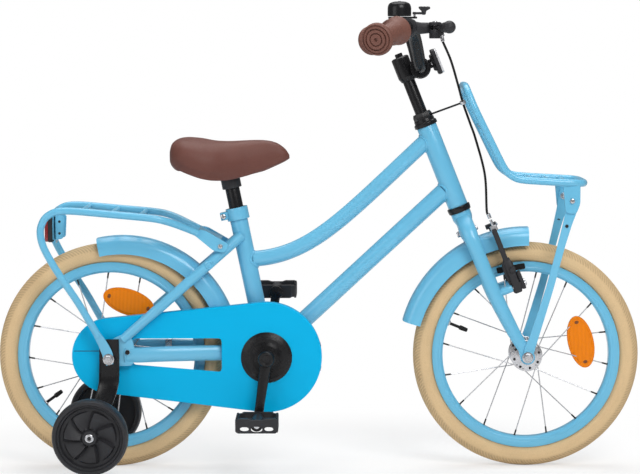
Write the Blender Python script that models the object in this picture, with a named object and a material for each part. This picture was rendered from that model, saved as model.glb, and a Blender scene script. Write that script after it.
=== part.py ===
"""A small child's bicycle with carriers front and back and a pair of stabiliser wheels.

Metres, +Z up, +X the way it rides, +Y to the rider's left. The origin is on the ground,
midway between the two wheel axles. The drive side is the rider's right, at -Y.
"""

from math import acos, asin, cos, pi, radians, sin, tan

import bmesh
import bpy
from mathutils import Matrix, Vector

RIGHT = -1
LEFT = 1
X = Vector((1.0, 0.0, 0.0))
Y = Vector((0.0, 1.0, 0.0))
Z = Vector((0.0, 0.0, 1.0))

# Clearances
SEAT_GAP = 0.0003          # between two faces that seat on each other
RUN_GAP = 0.0005           # round a part that turns
PAD_GAP = 0.0025           # brake pad to rim with the brake off

# Wheels
WHEEL_RADIUS = 0.200
WHEELBASE = 0.736
TYRE_WIDTH = 0.043
TYRE_WALL = 0.003
RIM_OUTER_RADIUS = 0.1665
RIM_DEPTH = 0.019
RIM_WIDTH = 0.025
RIM_WALL = 0.0016
INNER_TUBE_RADIUS = 0.0108
VALVE_LENGTH = 0.036
SPOKE_COUNT = 16
SPOKE_RADIUS = 0.0010
NIPPLE_RADIUS = 0.0014
SPOKE_LEAN = radians(52)   # how far round the flange a spoke starts from its rim hole
WHEEL_STEPS = 32
AXLE_RADIUS = 0.005
FRONT_HUB_WIDTH = 0.093    # between the fork ends
REAR_HUB_WIDTH = 0.110     # between the rear ends
FRONT_FLANGE_RADIUS = 0.028
REAR_FLANGE_RADIUS = 0.031
FRONT_FLANGE_OFFSET = 0.028
REAR_FLANGE_OFFSET = 0.030
REFLECTOR_LENGTH = 0.094
REFLECTOR_HEIGHT = 0.046
REFLECTOR_THICKNESS = 0.007

# Steering
HEAD_ANGLE = radians(68.45)
HEAD_LENGTH = 0.1525
HEAD_RADIUS = 0.0178
HEAD_SETBACK = 0.1203      # foot of the head tube behind the front axle
HEAD_ABOVE_TYRE = 0.0637
STEERER_RADIUS = 0.0127
STEERER_BORE = 0.0113
CUP_RADIUS = 0.0207
CUP_HEIGHT = 0.0105
UPPER_CUP_HEIGHT = 0.0135
LOCKNUT_HEIGHT = 0.011
FORK_END_THICKNESS = 0.005
LEG_WIDTH_FORE = 0.0128    # half of the leg's width, fore and aft
LEG_WIDTH_SIDE = 0.0105
LEG_OFFSET = 0.0440
STEM_RADIUS = 0.0108
STEM_TOP = 0.283           # top of the stem head above the foot of the head tube
CLAMP_DROP = 0.0310        # middle of the bar clamp below the stem's top
CLAMP_AHEAD = 0.0267       # and ahead of the steering axis
CLAMP_RADIUS = 0.0172
CLAMP_HALF = 0.021
BAR_RADIUS = 0.0111
GRIP_RADIUS = 0.0165
GRIP_LENGTH = 0.100
GRIP_END_RADIUS = 0.0275
GRIP_CAP = 0.0030          # thickness of a grip's closed end

# Brake, lever and bell
BRAKE_PLANE = 0.0430       # middle of the brake arms ahead of the steering axis
BRAKE_PIVOT_UP = -0.166    # brake pivots along the steering axis
BRAKE_PIVOT_OFFSET = 0.0425
BRAKE_ARM_LENGTH = 0.112
BRAKE_ARM_HALF = 0.0062    # half the arm's thickness, fore and aft
BOSS_RADIUS = 0.0040
BRAKE_PIPE_OFFSET = 0.0422 # cable pipe on the right arm, out from the middle plane
PAD_LENGTH = 0.050
PAD_THICKNESS = 0.009
LEVER_AT = 0.117           # lever clamp out along the bar from the middle plane
LEVER_REACH = Vector((0.0205, -0.120, 0.0695))
LEVER_LENGTH = 0.088
LEVER_PIN_RADIUS = 0.0022
LEVER_BOSS_RADIUS = 0.0098
BARREL_START = Vector((0.010, 0.010, -0.003))
BARREL_WAY = Vector((0.22, 0.03, -0.97)).normalized()
BARREL_LENGTH = 0.012
CABLE_RADIUS = 0.0024
GUIDE_UP = 0.1695          # eye of the cable guide, along and ahead of the steering axis
GUIDE_AHEAD = 0.0726
GUIDE_OUT = 0.0460
GUIDE_ROD_RADIUS = 0.0017
GUIDE_EYE_RADIUS = 0.0052
OVER_EYE = (0.2030, 0.0755, -0.061)    # the cable's way above and below the eye
UNDER_EYE = (0.1300, 0.0715, -0.039)
BELL_AT = 0.128            # bell clamp out along the bar from the middle plane
BELL_RADIUS = 0.0215
BELL_HEIGHT = 0.0272       # the dome alone
BELL_SEAT = Vector((-0.003, 0.0, 0.0180))
BELL_PIN_RADIUS = 0.0020

# Frame
CHAINSTAY_LENGTH = 0.2765
BRACKET_RISE = 0.0003      # bottom bracket above the axles
BRACKET_SHELL_RADIUS = 0.0205
BRACKET_SHELL_HALF = 0.034
BRACKET_BORE = 0.0178
SEAT_ANGLE = radians(78.4)
SEAT_TUBE_LENGTH = 0.2665
SEAT_TUBE_RADIUS = 0.0156
SEAT_POST_RADIUS = 0.0127
TOP_TUBE_RADIUS = 0.0140
DOWN_TUBE_RADIUS = 0.0152
TOP_TUBE_ON_HEAD = 0.1325
DOWN_TUBE_ON_HEAD = 0.0390
TOP_TUBE_ON_SEAT = 0.1735
END_THICKNESS = 0.005      # rear end plates
STAY_HEIGHT = 0.0136       # half the height of a chain stay
STAY_WIDTH = 0.0082        # half its width
SEAT_STAY_RADIUS = 0.0092
STAY_OUT = 0.0578          # middle of the stays out from the middle plane at the rear
CLAMP_HEIGHT = 0.022

# Saddle
SADDLE_RISE = 0.058        # top of the seat post above the seat tube
SADDLE_WIDTH = 0.142
SADDLE_PADDING = 0.009

# Drive
CHAIN_LINE = 0.0395
CHAIN_PITCH = 0.0127
CHAIN_LINKS = 66
FRONT_TEETH = 28
REAR_TEETH = 16
TOOTH_THICKNESS = 0.0030
CRANK_LENGTH = 0.104
CRANK_TILT = radians(8.0)  # right crank, back from straight down
SPINDLE_RADIUS = 0.0075
SPINDLE_HALF = 0.0745
CRANK_BOSS = 0.0535        # inner face of a crank's boss, out from the middle plane
CRANK_OUT = 0.0695         # middle of the crank arm at the pedal
PEDAL_AXLE_RADIUS = 0.0055
PEDAL_START = 0.0800       # inner end of a pedal, out from the middle plane
PEDAL_WIDTH = 0.084
COVER_RADIUS = 0.045
CASE_FRONT_RADIUS = 0.0975
CASE_REAR_RADIUS = 0.0665
CASE_INNER = 0.0300        # faces of the chain case, out from the middle plane
CASE_OUTER = 0.0480
CASE_WALL = 0.0016

# Stabilisers
SIDE_WHEEL_RADIUS = 0.066
SIDE_WHEEL_LIFT = 0.009    # above the ground with the bicycle upright
SIDE_WHEEL_HALF = 0.017
SIDE_WHEEL_TRACK = 0.140   # middle of a side wheel from the middle plane
SIDE_WHEEL_BACK = 0.026    # behind the rear axle
SIDE_BRACKET_THICKNESS = 0.003

# Mudguards
FRONT_GUARD_RADIUS = 0.2265
REAR_GUARD_RADIUS = 0.2067
FRONT_GUARD_START = radians(89.0)
FRONT_GUARD_SPAN = radians(75.5)
FRONT_GUARD_STEPS = 10
REAR_GUARD_START = radians(8.0)
REAR_GUARD_SPAN = radians(94.5)
REAR_GUARD_STEPS = 12
GUARD_HALF = 0.029
GUARD_DEPTH = 0.031
GUARD_SHEET = 0.0014

# Carriers
RACK_TUBE_RADIUS = 0.0064
CROSS_TUBE_RADIUS = 0.0042
FRONT_RACK_HALF = 0.0755
REAR_RACK_HALF = 0.0800
LEG_STRIP_WIDTH = 0.017
LEG_STRIP = 0.003

# Places that follow from the sizes above
FRONT_AXLE = Vector((WHEELBASE / 2, 0.0, WHEEL_RADIUS))
REAR_AXLE = Vector((-WHEELBASE / 2, 0.0, WHEEL_RADIUS))
HEAD_FOOT = FRONT_AXLE + Vector((-HEAD_SETBACK, 0.0, WHEEL_RADIUS + HEAD_ABOVE_TYRE))
HEAD_UP = Vector((-cos(HEAD_ANGLE), 0.0, sin(HEAD_ANGLE)))
HEAD_AHEAD = Vector((sin(HEAD_ANGLE), 0.0, cos(HEAD_ANGLE)))
BRACKET = REAR_AXLE + Vector((CHAINSTAY_LENGTH, 0.0, BRACKET_RISE))
SEAT_UP = Vector((-cos(SEAT_ANGLE), 0.0, sin(SEAT_ANGLE)))
SEAT_BACK = Vector((-sin(SEAT_ANGLE), 0.0, -cos(SEAT_ANGLE)))
SEAT_TOP = BRACKET + SEAT_UP * SEAT_TUBE_LENGTH
RIM_INNER_RADIUS = RIM_OUTER_RADIUS - RIM_DEPTH
FRONT_END = FRONT_HUB_WIDTH / 2 + SEAT_GAP
REAR_END = REAR_HUB_WIDTH / 2 + SEAT_GAP
FRONT_PITCH_RADIUS = CHAIN_PITCH / (2 * sin(pi / FRONT_TEETH))
REAR_PITCH_RADIUS = CHAIN_PITCH / (2 * sin(pi / REAR_TEETH))
CASE_REAR_CENTRE = REAR_AXLE + Z * 0.0035

# Looks: base colour, roughness, metallic
LOOKS = {
    "pale_blue_paint": ((0.16, 0.50, 0.73), 0.32, 0.0),
    "bright_blue_plastic": ((0.0, 0.42, 0.76), 0.35, 0.0),
    "cream_rubber": ((0.72, 0.53, 0.30), 0.75, 0.0),
    "black_rubber": ((0.02, 0.02, 0.02), 0.80, 0.0),
    "black_plastic": ((0.025, 0.025, 0.028), 0.45, 0.0),
    "black_steel": ((0.03, 0.03, 0.033), 0.35, 0.4),
    "bright_steel": ((0.62, 0.62, 0.64), 0.28, 1.0),
    "brown_leatherette": ((0.17, 0.062, 0.042), 0.55, 0.0),
    "brown_rubber": ((0.16, 0.055, 0.035), 0.65, 0.0),
    "amber_plastic": ((0.85, 0.26, 0.01), 0.25, 0.0),
    "red_plastic": ((0.30, 0.01, 0.01), 0.25, 0.0),
    "clear_plastic": ((0.85, 0.85, 0.85), 0.15, 0.0),
}

pivots = {}


def clear_scene():
    """Take every object out of the scene that the file opened with."""
    for obj in list(bpy.data.objects):
        bpy.data.objects.remove(obj, do_unlink=True)


def steer(up, ahead=0.0, left=0.0):
    """A point given along the steering axis from the foot of the head tube."""
    return HEAD_FOOT + HEAD_UP * up + HEAD_AHEAD * ahead + Y * left


def from_axle(axle, angle, radius, side=0.0):
    """A point round a wheel axle; the angle runs up from straight ahead."""
    return axle + Vector((cos(angle) * radius, side, sin(angle) * radius))


def basis(direction, hint):
    """Two directions square to the given one, and the one itself."""
    along = Vector(direction).normalized()
    first = (Vector(hint) - along * Vector(hint).dot(along)).normalized()
    return first, along.cross(first), along


def bezier(start, start_handle, end_handle, end, count):
    """Points on a cubic curve, both ends included."""
    points = []
    for step in range(count + 1):
        t = step / count
        s = 1 - t
        point = start * s ** 3 + start_handle * (3 * s * s * t)
        points.append(point + end_handle * (3 * s * t * t) + end * t ** 3)
    return points


def smooth(points, per_span, closed=False):
    """Points on a smooth curve through the given ones."""
    points = [Vector(p) for p in points]
    count = len(points)
    spans = count if closed else count - 1
    curve = []
    for i in range(spans):
        if closed:
            a, b, c, d = (points[(i + k) % count] for k in (-1, 0, 1, 2))
        else:
            b, c = points[i], points[i + 1]
            a = points[i - 1] if i > 0 else b * 2 - c
            d = points[i + 2] if i + 2 < count else c * 2 - b
        for step in range(per_span):
            t = step / per_span
            curve.append(0.5 * (b * 2 + (c - a) * t + (a * 2 - b * 5 + c * 4 - d) * t * t
                                + (b * 3 - a - c * 3 + d) * t ** 3))
    if not closed:
        curve.append(points[-1])
    return curve


def link(mesh, name="piece"):
    """Put a mesh into the scene as an object."""
    obj = bpy.data.objects.new(name, mesh)
    bpy.context.scene.collection.objects.link(obj)
    return obj


def settle(mesh):
    """Merge doubled points, drop slivers and turn the faces outwards."""
    bm = bmesh.new()
    bm.from_mesh(mesh)
    bmesh.ops.remove_doubles(bm, verts=bm.verts, dist=2e-6)
    bmesh.ops.dissolve_degenerate(bm, edges=bm.edges, dist=1e-6)
    bmesh.ops.recalc_face_normals(bm, faces=bm.faces)
    if bm.calc_volume(signed=True) < 0:
        bmesh.ops.reverse_faces(bm, faces=bm.faces)
    bm.to_mesh(mesh)
    bm.free()


def to_object(bm):
    """Turn an edited mesh into an object, with its faces outwards."""
    mesh = bpy.data.meshes.new("piece")
    bm.to_mesh(mesh)
    bm.free()
    settle(mesh)
    return link(mesh)


def turned(profile, centre, axis, steps=24, hint=X, ring=False):
    """Spin a profile of (radius, distance along the axis) once round the axis."""
    across, _, along = basis(axis, hint)
    centre = Vector(centre)
    bm = bmesh.new()
    verts = [bm.verts.new(centre + across * radius + along * height)
             for radius, height in profile]
    edges = [bm.edges.new(pair) for pair in zip(verts, verts[1:])]
    if ring:
        edges.append(bm.edges.new((verts[-1], verts[0])))
    bmesh.ops.spin(bm, geom=verts + edges, cent=centre, axis=along, angle=2 * pi,
                   steps=steps, use_merge=True)
    return to_object(bm)


def rod(start, end, radius, steps=12, hint=X):
    """A plain round bar between two points."""
    start, end = Vector(start), Vector(end)
    length = (end - start).length
    profile = [(0.0, 0.0), (radius, 0.0), (radius, length), (0.0, length)]
    across = hint if abs((end - start).normalized().dot(hint)) < 0.9 else Z
    return turned(profile, start, end - start, steps, across)


def prism(outline, origin, across, up, thickness):
    """Extrude a flat outline by its thickness, half to each side of the origin."""
    across, up = Vector(across).normalized(), Vector(up).normalized()
    normal = across.cross(up)
    base = Vector(origin) - normal * (thickness / 2)
    bm = bmesh.new()
    face = bm.faces.new([bm.verts.new(base + across * a + up * b) for a, b in outline])
    grown = bmesh.ops.extrude_face_region(bm, geom=[face])["geom"]
    moved = [part for part in grown if isinstance(part, bmesh.types.BMVert)]
    bmesh.ops.translate(bm, verts=moved, vec=normal * thickness)
    return to_object(bm)


def block(centre, size, across=X, up=Z, rounding=0.0, segments=1):
    """A box, its edges rounded where a rounding is given."""
    side = Vector(up).normalized().cross(Vector(across).normalized())
    turn = Matrix((Vector(across).normalized(), side, Vector(up).normalized())).transposed()
    bm = bmesh.new()
    bmesh.ops.create_cube(bm, size=1.0)
    bmesh.ops.scale(bm, vec=Vector(size), verts=bm.verts)
    if rounding:
        bmesh.ops.bevel(bm, geom=bm.edges[:], offset=rounding, segments=segments,
                        affect="EDGES", profile=0.5)
    bmesh.ops.transform(bm, matrix=Matrix.Translation(Vector(centre)) @ turn.to_4x4(),
                        verts=bm.verts)
    return to_object(bm)


def loft(rings, closed=False):
    """Carry a ring of points through the given rings by extruding its edges."""
    bm = bmesh.new()
    verts = [bm.verts.new(point) for point in rings[0]]
    first = verts
    count = len(verts)
    edges = [bm.edges.new((verts[i], verts[(i + 1) % count])) for i in range(count)]
    for ring in rings[1:]:
        grown = bmesh.ops.extrude_edge_only(bm, edges=edges)["geom"]
        at = {vert.co.to_tuple(7): vert for vert in grown
              if isinstance(vert, bmesh.types.BMVert)}
        verts = [at[vert.co.to_tuple(7)] for vert in verts]
        edges = [bm.edges.get((verts[i], verts[(i + 1) % count])) for i in range(count)]
        for vert, point in zip(verts, ring):
            vert.co = point
    if closed:
        start = [bm.edges.get((first[i], first[(i + 1) % count])) for i in range(count)]
        bmesh.ops.bridge_loops(bm, edges=edges + start)
    else:
        bm.faces.new(first)
        bm.faces.new(verts)
    return to_object(bm)


def oval(centre, first, second, half_first, half_second, count, power=1.0):
    """A ring of points; a power under 1 squares it up."""
    points = []
    for step in range(count):
        angle = 2 * pi * (step + 0.5) / count
        c, s = cos(angle), sin(angle)
        c = abs(c) ** power * (1 if c > 0 else -1)
        s = abs(s) ** power * (1 if s > 0 else -1)
        points.append(centre + first * (half_first * c) + second * (half_second * s))
    return points


def loft_along(path, halves, hint, count=12, power=1.0):
    """A bar of changing oval section; each half pair is (along the hint, across it)."""
    rings = []
    for i, point in enumerate(path):
        before = path[max(i - 1, 0)]
        after = path[min(i + 1, len(path) - 1)]
        first, second, _ = basis(after - before, hint)
        rings.append(oval(point, first, second, halves[i][0], halves[i][1], count, power))
    return loft(rings)


def tube(points, radius, resolution=2, closed=False, swell=None):
    """A round tube along the points, made as a curve with a bevel."""
    curve = bpy.data.curves.new("route", "CURVE")
    curve.dimensions = "3D"
    curve.bevel_depth = radius
    curve.bevel_resolution = resolution
    curve.use_fill_caps = True
    spline = curve.splines.new("POLY")
    spline.points.add(len(points) - 1)
    for i, point in enumerate(points):
        spline.points[i].co = (*point, 1.0)
        spline.points[i].radius = swell[i] if swell else 1.0
    spline.use_cyclic_u = closed
    guide = bpy.data.objects.new("route", curve)
    bpy.context.scene.collection.objects.link(guide)
    graph = bpy.context.evaluated_depsgraph_get()
    mesh = bpy.data.meshes.new_from_object(guide.evaluated_get(graph))
    bpy.data.objects.remove(guide, do_unlink=True)
    settle(mesh)
    return link(mesh)


def combine(target, tool, operation):
    """Apply one exact Boolean to the target and delete the tool."""
    modifier = target.modifiers.new("combine", "BOOLEAN")
    modifier.operation = operation
    modifier.object = tool
    modifier.solver = "EXACT"
    graph = bpy.context.evaluated_depsgraph_get()
    mesh = bpy.data.meshes.new_from_object(target.evaluated_get(graph))
    target.modifiers.clear()
    target.data = mesh
    settle(mesh)
    bpy.data.objects.remove(tool, do_unlink=True)
    return target


def join(target, *tools):
    """Weld the tools to the target."""
    for tool in tools:
        combine(target, tool, "UNION")
    return target


def cut(target, *tools):
    """Cut the tools out of the target."""
    for tool in tools:
        combine(target, tool, "DIFFERENCE")
    return target


def look(name):
    """The named material, made once."""
    material = bpy.data.materials.get(name)
    if material:
        return material
    colour, roughness, metallic = LOOKS[name]
    material = bpy.data.materials.new(name)
    material.use_nodes = True
    shader = material.node_tree.nodes["Principled BSDF"]
    shader.inputs["Base Color"].default_value = (*colour, 1.0)
    shader.inputs["Roughness"].default_value = roughness
    shader.inputs["Metallic"].default_value = metallic
    material.diffuse_color = (*colour, 1.0)
    return material


def pivot(name, place, parent=None):
    """An empty on a joint's axis, which the moving pieces hang from."""
    empty = bpy.data.objects.new(name, None)
    empty.empty_display_size = 0.03
    bpy.context.scene.collection.objects.link(empty)
    place = Vector(place)
    if parent:
        empty.parent = pivots[parent][0]
        empty.location = place - pivots[parent][1]
    else:
        empty.location = place
    pivots[name] = (empty, place)


def finish(obj, name, material, joint=None, sharp=32):
    """Name a piece, give it its material and hang it from its joint."""
    obj.name = name
    obj.data.name = name
    obj.data.materials.clear()
    obj.data.materials.append(look(material))
    if joint:
        empty, place = pivots[joint]
        obj.data.transform(Matrix.Translation(-place))
        obj.parent = empty
    obj.data.shade_smooth()
    obj.data.set_sharp_from_angle(angle=radians(sharp))
    return obj


def rounded(points, radius, steps=4):
    """An outline with each corner replaced by an arc of the radius."""
    points = [Vector((a, b)) for a, b in points]
    count = len(points)
    outline = []
    for i, corner in enumerate(points):
        to_last = (points[i - 1] - corner).normalized()
        to_next = (points[(i + 1) % count] - corner).normalized()
        half = acos(max(-1.0, min(1.0, to_last.dot(to_next)))) / 2
        reach = radius / tan(half)
        middle = corner + (to_last + to_next).normalized() * (radius / sin(half))
        start = corner + to_last * reach - middle
        end = corner + to_next * reach - middle
        for step in range(steps + 1):
            t = step / steps
            spoke = start * (1 - t) + end * t
            outline.append(tuple(middle + spoke.normalized() * radius))
    return outline


def hull_outline(front, front_radius, rear, rear_radius, front_steps, rear_steps):
    """Round two circles and along the two lines that touch both, in the X-Z plane."""
    line = Vector((front.x - rear.x, front.z - rear.z))
    lean = asin((front_radius - rear_radius) / line.length)
    tilt = Vector((1.0, 0.0)).angle_signed(line)
    top = pi / 2 + lean - tilt
    bottom = -pi / 2 - lean - tilt
    outline = []
    for step in range(front_steps + 1):
        angle = bottom + (top - bottom) * step / front_steps
        outline.append((front.x + front_radius * cos(angle), front.z + front_radius * sin(angle)))
    for step in range(rear_steps + 1):
        angle = top + (bottom + 2 * pi - top) * step / rear_steps
        outline.append((rear.x + rear_radius * cos(angle), rear.z + rear_radius * sin(angle)))
    return outline


def side_plate(outline, side, near, far):
    """A plate in the X-Z plane between two distances out from the middle plane."""
    middle = Y * (side * (near + far) / 2)
    return prism(outline, middle, X, Z, abs(far - near))


def hex_nut(centre, axis, across_flats, height):
    """A six-sided nut standing on the centre."""
    radius = across_flats / (2 * cos(pi / 6))
    return turned([(0.0, 0.0), (radius, 0.0), (radius, height * 0.85),
                   (radius * 0.86, height), (0.0, height)], centre, axis, steps=6)


def spoke_places(axle, flange_radius, flange_offset, first_angle):
    """Start and end of each spoke, laced crosswise to alternate flanges."""
    places = []
    reach = RIM_INNER_RADIUS * cos(pi / WHEEL_STEPS) - 0.0009
    for i in range(SPOKE_COUNT):
        angle = first_angle + 2 * pi * i / SPOKE_COUNT
        side = RIGHT if i % 2 == 0 else LEFT
        trailing = (i // 2) % 2
        lean = SPOKE_LEAN * (-1 if trailing else 1)
        height = side * (flange_offset + SPOKE_RADIUS * (0.5 - trailing))
        hole = from_axle(axle, angle + lean, flange_radius - 0.0035, height)
        rim = from_axle(axle, angle, reach, side * 0.0025)
        places.append((hole, rim))
    return places


def spoke_bar(start, end, extra=0.0):
    """A spoke that thickens towards its nipple at the rim."""
    length = (end - start).length
    profile = [(0.0, 0.0), (SPOKE_RADIUS + extra, 0.0), (NIPPLE_RADIUS + extra, length),
               (0.0, length)]
    return turned(profile, start, end - start, steps=3, hint=Y)


def tyre(axle):
    """A hollow tyre, open towards the rim, its beads inside the rim's walls."""
    half = TYRE_WIDTH / 2
    widest = half / sin(radians(62))
    crown = (WHEEL_RADIUS - RIM_OUTER_RADIUS) * 0.57
    middle = WHEEL_RADIUS - crown
    bead = RIM_WIDTH / 2 - RIM_WALL - SEAT_GAP
    bead_foot = RIM_OUTER_RADIUS - 0.0105
    outer = [(middle + crown * cos(radians(a)), widest * sin(radians(a)))
             for a in (-118, -62, 0, 62, 118)]
    inner = [(middle + (crown - TYRE_WALL) * cos(radians(a)),
              (half - TYRE_WALL) * sin(radians(a))) for a in (88, 0, -88)]
    lip = RIM_OUTER_RADIUS + 0.0007
    profile = outer + [(lip, bead), (bead_foot, bead), (lip, bead - TYRE_WALL)] + inner
    profile += [(lip, TYRE_WALL - bead), (bead_foot, -bead), (lip, -bead)]
    return turned(profile, axle, Y, WHEEL_STEPS, ring=True)


def rim(axle, valve_angle):
    """A channel-shaped rim with the hole for its valve."""
    half = RIM_WIDTH / 2
    floor = RIM_INNER_RADIUS + 0.006
    side = [(RIM_OUTER_RADIUS, half), (RIM_OUTER_RADIUS, half - RIM_WALL),
            (floor, half - RIM_WALL)]
    profile = side + [(radius, -y) for radius, y in reversed(side)]
    profile += [(RIM_INNER_RADIUS, -half), (RIM_INNER_RADIUS, half)]
    ring = turned(profile, axle, Y, WHEEL_STEPS, ring=True)
    hole = rod(from_axle(axle, valve_angle, RIM_INNER_RADIUS - 0.01),
               from_axle(axle, valve_angle, RIM_INNER_RADIUS + 0.01), 0.0037, 8, Y)
    return cut(ring, hole)


def inner_tube(axle, valve_angle):
    """The inflated tube with its valve, which stands through the rim."""
    middle = WHEEL_RADIUS - TYRE_WALL - 0.0025 - INNER_TUBE_RADIUS
    profile = [(middle + INNER_TUBE_RADIUS * cos(2 * pi * i / 6),
                INNER_TUBE_RADIUS * sin(2 * pi * i / 6)) for i in range(6)]
    ring = turned(profile, axle, Y, 16, ring=True)
    foot = from_axle(axle, valve_angle, middle - INNER_TUBE_RADIUS + 0.004)
    length = foot.x - from_axle(axle, valve_angle, RIM_INNER_RADIUS - VALVE_LENGTH).x
    length = abs(length / cos(valve_angle))
    valve = turned([(0.0, 0.0), (0.0030, 0.0), (0.0030, length - 0.016),
                    (0.0040, length - 0.0155), (0.0034, length), (0.0, length)],
                   foot, axle - foot, 6, Y)
    return join(ring, valve)


def hub(axle, flange_radius, flange_offset, barrel_radius, end_half, first_angle):
    """A hub shell bored for its axle, with its spokes in place."""
    plate = 0.0016
    side = [(AXLE_RADIUS + RUN_GAP, end_half), (barrel_radius * 0.72, end_half),
            (flange_radius, flange_offset + plate), (flange_radius, flange_offset - plate),
            (barrel_radius, flange_offset - 0.008)]
    profile = side + [(radius, -y) for radius, y in reversed(side)]
    shell = turned(profile, axle, Y, 12, ring=True)
    for start, end in spoke_places(axle, flange_radius, flange_offset, first_angle):
        join(shell, spoke_bar(start, end))
    return shell


def spoke_reflector(axle, angle, flange_radius, flange_offset, first_angle):
    """An oval reflector across the wheel, clipped over the near spokes."""
    radius = 0.1000
    middle = from_axle(axle, angle, radius)
    out = from_axle(axle, angle, 1.0) - axle
    round_wheel = out.cross(Y)
    out_from_middle = RIGHT * flange_offset * (RIM_INNER_RADIUS - radius) / RIM_INNER_RADIUS
    middle += Y * (out_from_middle - 0.002)
    ring = [(REFLECTOR_LENGTH / 2 * cos(2 * pi * i / 16),
             REFLECTOR_HEIGHT / 2 * sin(2 * pi * i / 16)) for i in range(16)]
    plate = prism(ring, middle, round_wheel, out, REFLECTOR_THICKNESS)
    for start, end in spoke_places(axle, flange_radius, flange_offset, first_angle)[::2]:
        nearest = (start + end) / 2
        if (nearest - middle).length < 0.1:
            cut(plate, spoke_bar(start, end, SEAT_GAP))
    return plate


def make_wheels():
    """Both wheels, each with its tyre, tube, rim, laced hub, reflector and axle."""
    pivot("front_wheel_axis", FRONT_AXLE, "steering_axis")
    pivot("rear_wheel_axis", REAR_AXLE)
    wheels = (("front", FRONT_AXLE, FRONT_FLANGE_RADIUS, FRONT_FLANGE_OFFSET, 0.012,
               FRONT_HUB_WIDTH / 2 - 0.002, radians(-7.3), radians(157.9), radians(12.9)),
              ("rear", REAR_AXLE, REAR_FLANGE_RADIUS, REAR_FLANGE_OFFSET, 0.0225,
               BRACKET_SHELL_HALF, radians(2.0), radians(216.1), radians(71.6)))
    for name, axle, flange, offset, barrel, end_half, first, valve, mirror in wheels:
        joint = name + "_wheel_axis"
        finish(tyre(axle), name + "_tyre", "cream_rubber", joint)
        finish(inner_tube(axle, valve), name + "_inner_tube", "black_rubber", joint)
        finish(rim(axle, valve), name + "_rim", "pale_blue_paint", joint)
        finish(hub(axle, flange, offset, barrel, end_half, first), name + "_hub_and_spokes",
               "bright_steel", joint)
        finish(spoke_reflector(axle, mirror, flange, offset, first),
               name + "_spoke_reflector", "amber_plastic", joint)


def axle_bar(axle, cone_starts, cone_end, nut_start):
    """An axle with its cones inboard of the ends and its nuts outboard."""
    end = nut_start + 0.011
    cone = 0.0085
    profile = [(0.0, -end), (AXLE_RADIUS, -end), (AXLE_RADIUS, -cone_end), (cone, -cone_end),
               (cone, -cone_starts[0]), (AXLE_RADIUS, -cone_starts[0]),
               (AXLE_RADIUS, cone_starts[1]), (cone, cone_starts[1]), (cone, cone_end),
               (AXLE_RADIUS, cone_end), (AXLE_RADIUS, end), (0.0, end)]
    bar = turned(profile, axle, Y, 8)
    for along in (-Y, Y):
        join(bar, hex_nut(axle + along * nut_start, along, 0.015, 0.008))
    return bar


def make_axles():
    """The front axle, carried by the fork, and the rear one, carried by the frame."""
    front_nut = FRONT_END + FORK_END_THICKNESS + LEG_STRIP + 2 * SEAT_GAP
    cone = FRONT_HUB_WIDTH / 2 - 0.002 + RUN_GAP
    finish(axle_bar(FRONT_AXLE, (cone, cone), FRONT_HUB_WIDTH / 2, front_nut),
           "front_axle", "bright_steel", "steering_axis")
    rear_nut = REAR_END + END_THICKNESS + SIDE_BRACKET_THICKNESS + LEG_STRIP + 3 * SEAT_GAP
    finish(axle_bar(REAR_AXLE, (0.0506, 0.0515), REAR_HUB_WIDTH / 2, rear_nut),
           "rear_axle", "bright_steel")


def make_head():
    """The head tube with the two cups of the headset."""
    finish(turned([(HEAD_RADIUS, 0.0), (HEAD_RADIUS, HEAD_LENGTH),
                   (STEERER_RADIUS + 0.0012, HEAD_LENGTH), (STEERER_RADIUS + 0.0012, 0.0)],
                  HEAD_FOOT, HEAD_UP, 20, ring=True), "head_tube", "pale_blue_paint")
    bore = STEERER_RADIUS + RUN_GAP
    finish(turned([(CUP_RADIUS, -SEAT_GAP), (bore, -SEAT_GAP), (bore, -CUP_HEIGHT),
                   (CUP_RADIUS * 0.96, -CUP_HEIGHT)], HEAD_FOOT, HEAD_UP, 16, ring=True),
           "lower_headset_cup", "black_steel")
    foot = HEAD_LENGTH + SEAT_GAP
    top = foot + UPPER_CUP_HEIGHT
    finish(turned([(bore, foot), (CUP_RADIUS, foot), (CUP_RADIUS, foot + 0.0065),
                   (CUP_RADIUS * 0.88, foot + 0.008), (CUP_RADIUS * 0.88, top), (bore, top)],
                  HEAD_FOOT, HEAD_UP, 16, ring=True),
           "upper_headset_cup", "black_steel")


def fork_leg(side):
    """One blade: out of the crown, down beside the wheel and forward to its end plate."""
    axle_up = (FRONT_AXLE - HEAD_FOOT).dot(HEAD_UP)
    axle_ahead = (FRONT_AXLE - HEAD_FOOT).dot(HEAD_AHEAD)
    end_middle = FRONT_END + FORK_END_THICKNESS / 2
    stations = [(-0.0225, 0.0, 0.0070, 0.0148, 0.0100), (-0.0360, 0.0, 0.0300, 0.0142, 0.0108),
                (-0.0500, 0.0, 0.0400, 0.0138, 0.0105),
                (-0.0660, 0.0, LEG_OFFSET, LEG_WIDTH_FORE, LEG_WIDTH_SIDE),
                (axle_up * 0.60, 0.0020, LEG_OFFSET, LEG_WIDTH_FORE, LEG_WIDTH_SIDE),
                (axle_up * 0.86, axle_ahead * 0.62, LEG_OFFSET + 0.0025, 0.0110, 0.0060),
                (axle_up + 0.0175, axle_ahead * 0.93, end_middle, 0.0100,
                 FORK_END_THICKNESS / 2 - 0.0001)]
    path = [steer(up, ahead, side * left) for up, ahead, left, _, _ in stations]
    halves = [(fore, across) for _, _, _, fore, across in stations]
    leg = loft_along(path, halves, HEAD_AHEAD, 8)
    shape = []
    for step in range(9):
        angle = pi + pi * step / 8
        shape.append((0.0130 * cos(angle), 0.0130 * sin(angle)))
    shape += [(0.0095, 0.026), (-0.0095, 0.026)]
    end_plate = prism(shape, FRONT_AXLE + Y * side * end_middle, HEAD_AHEAD, HEAD_UP,
                      FORK_END_THICKNESS)
    return join(leg, end_plate)


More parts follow.
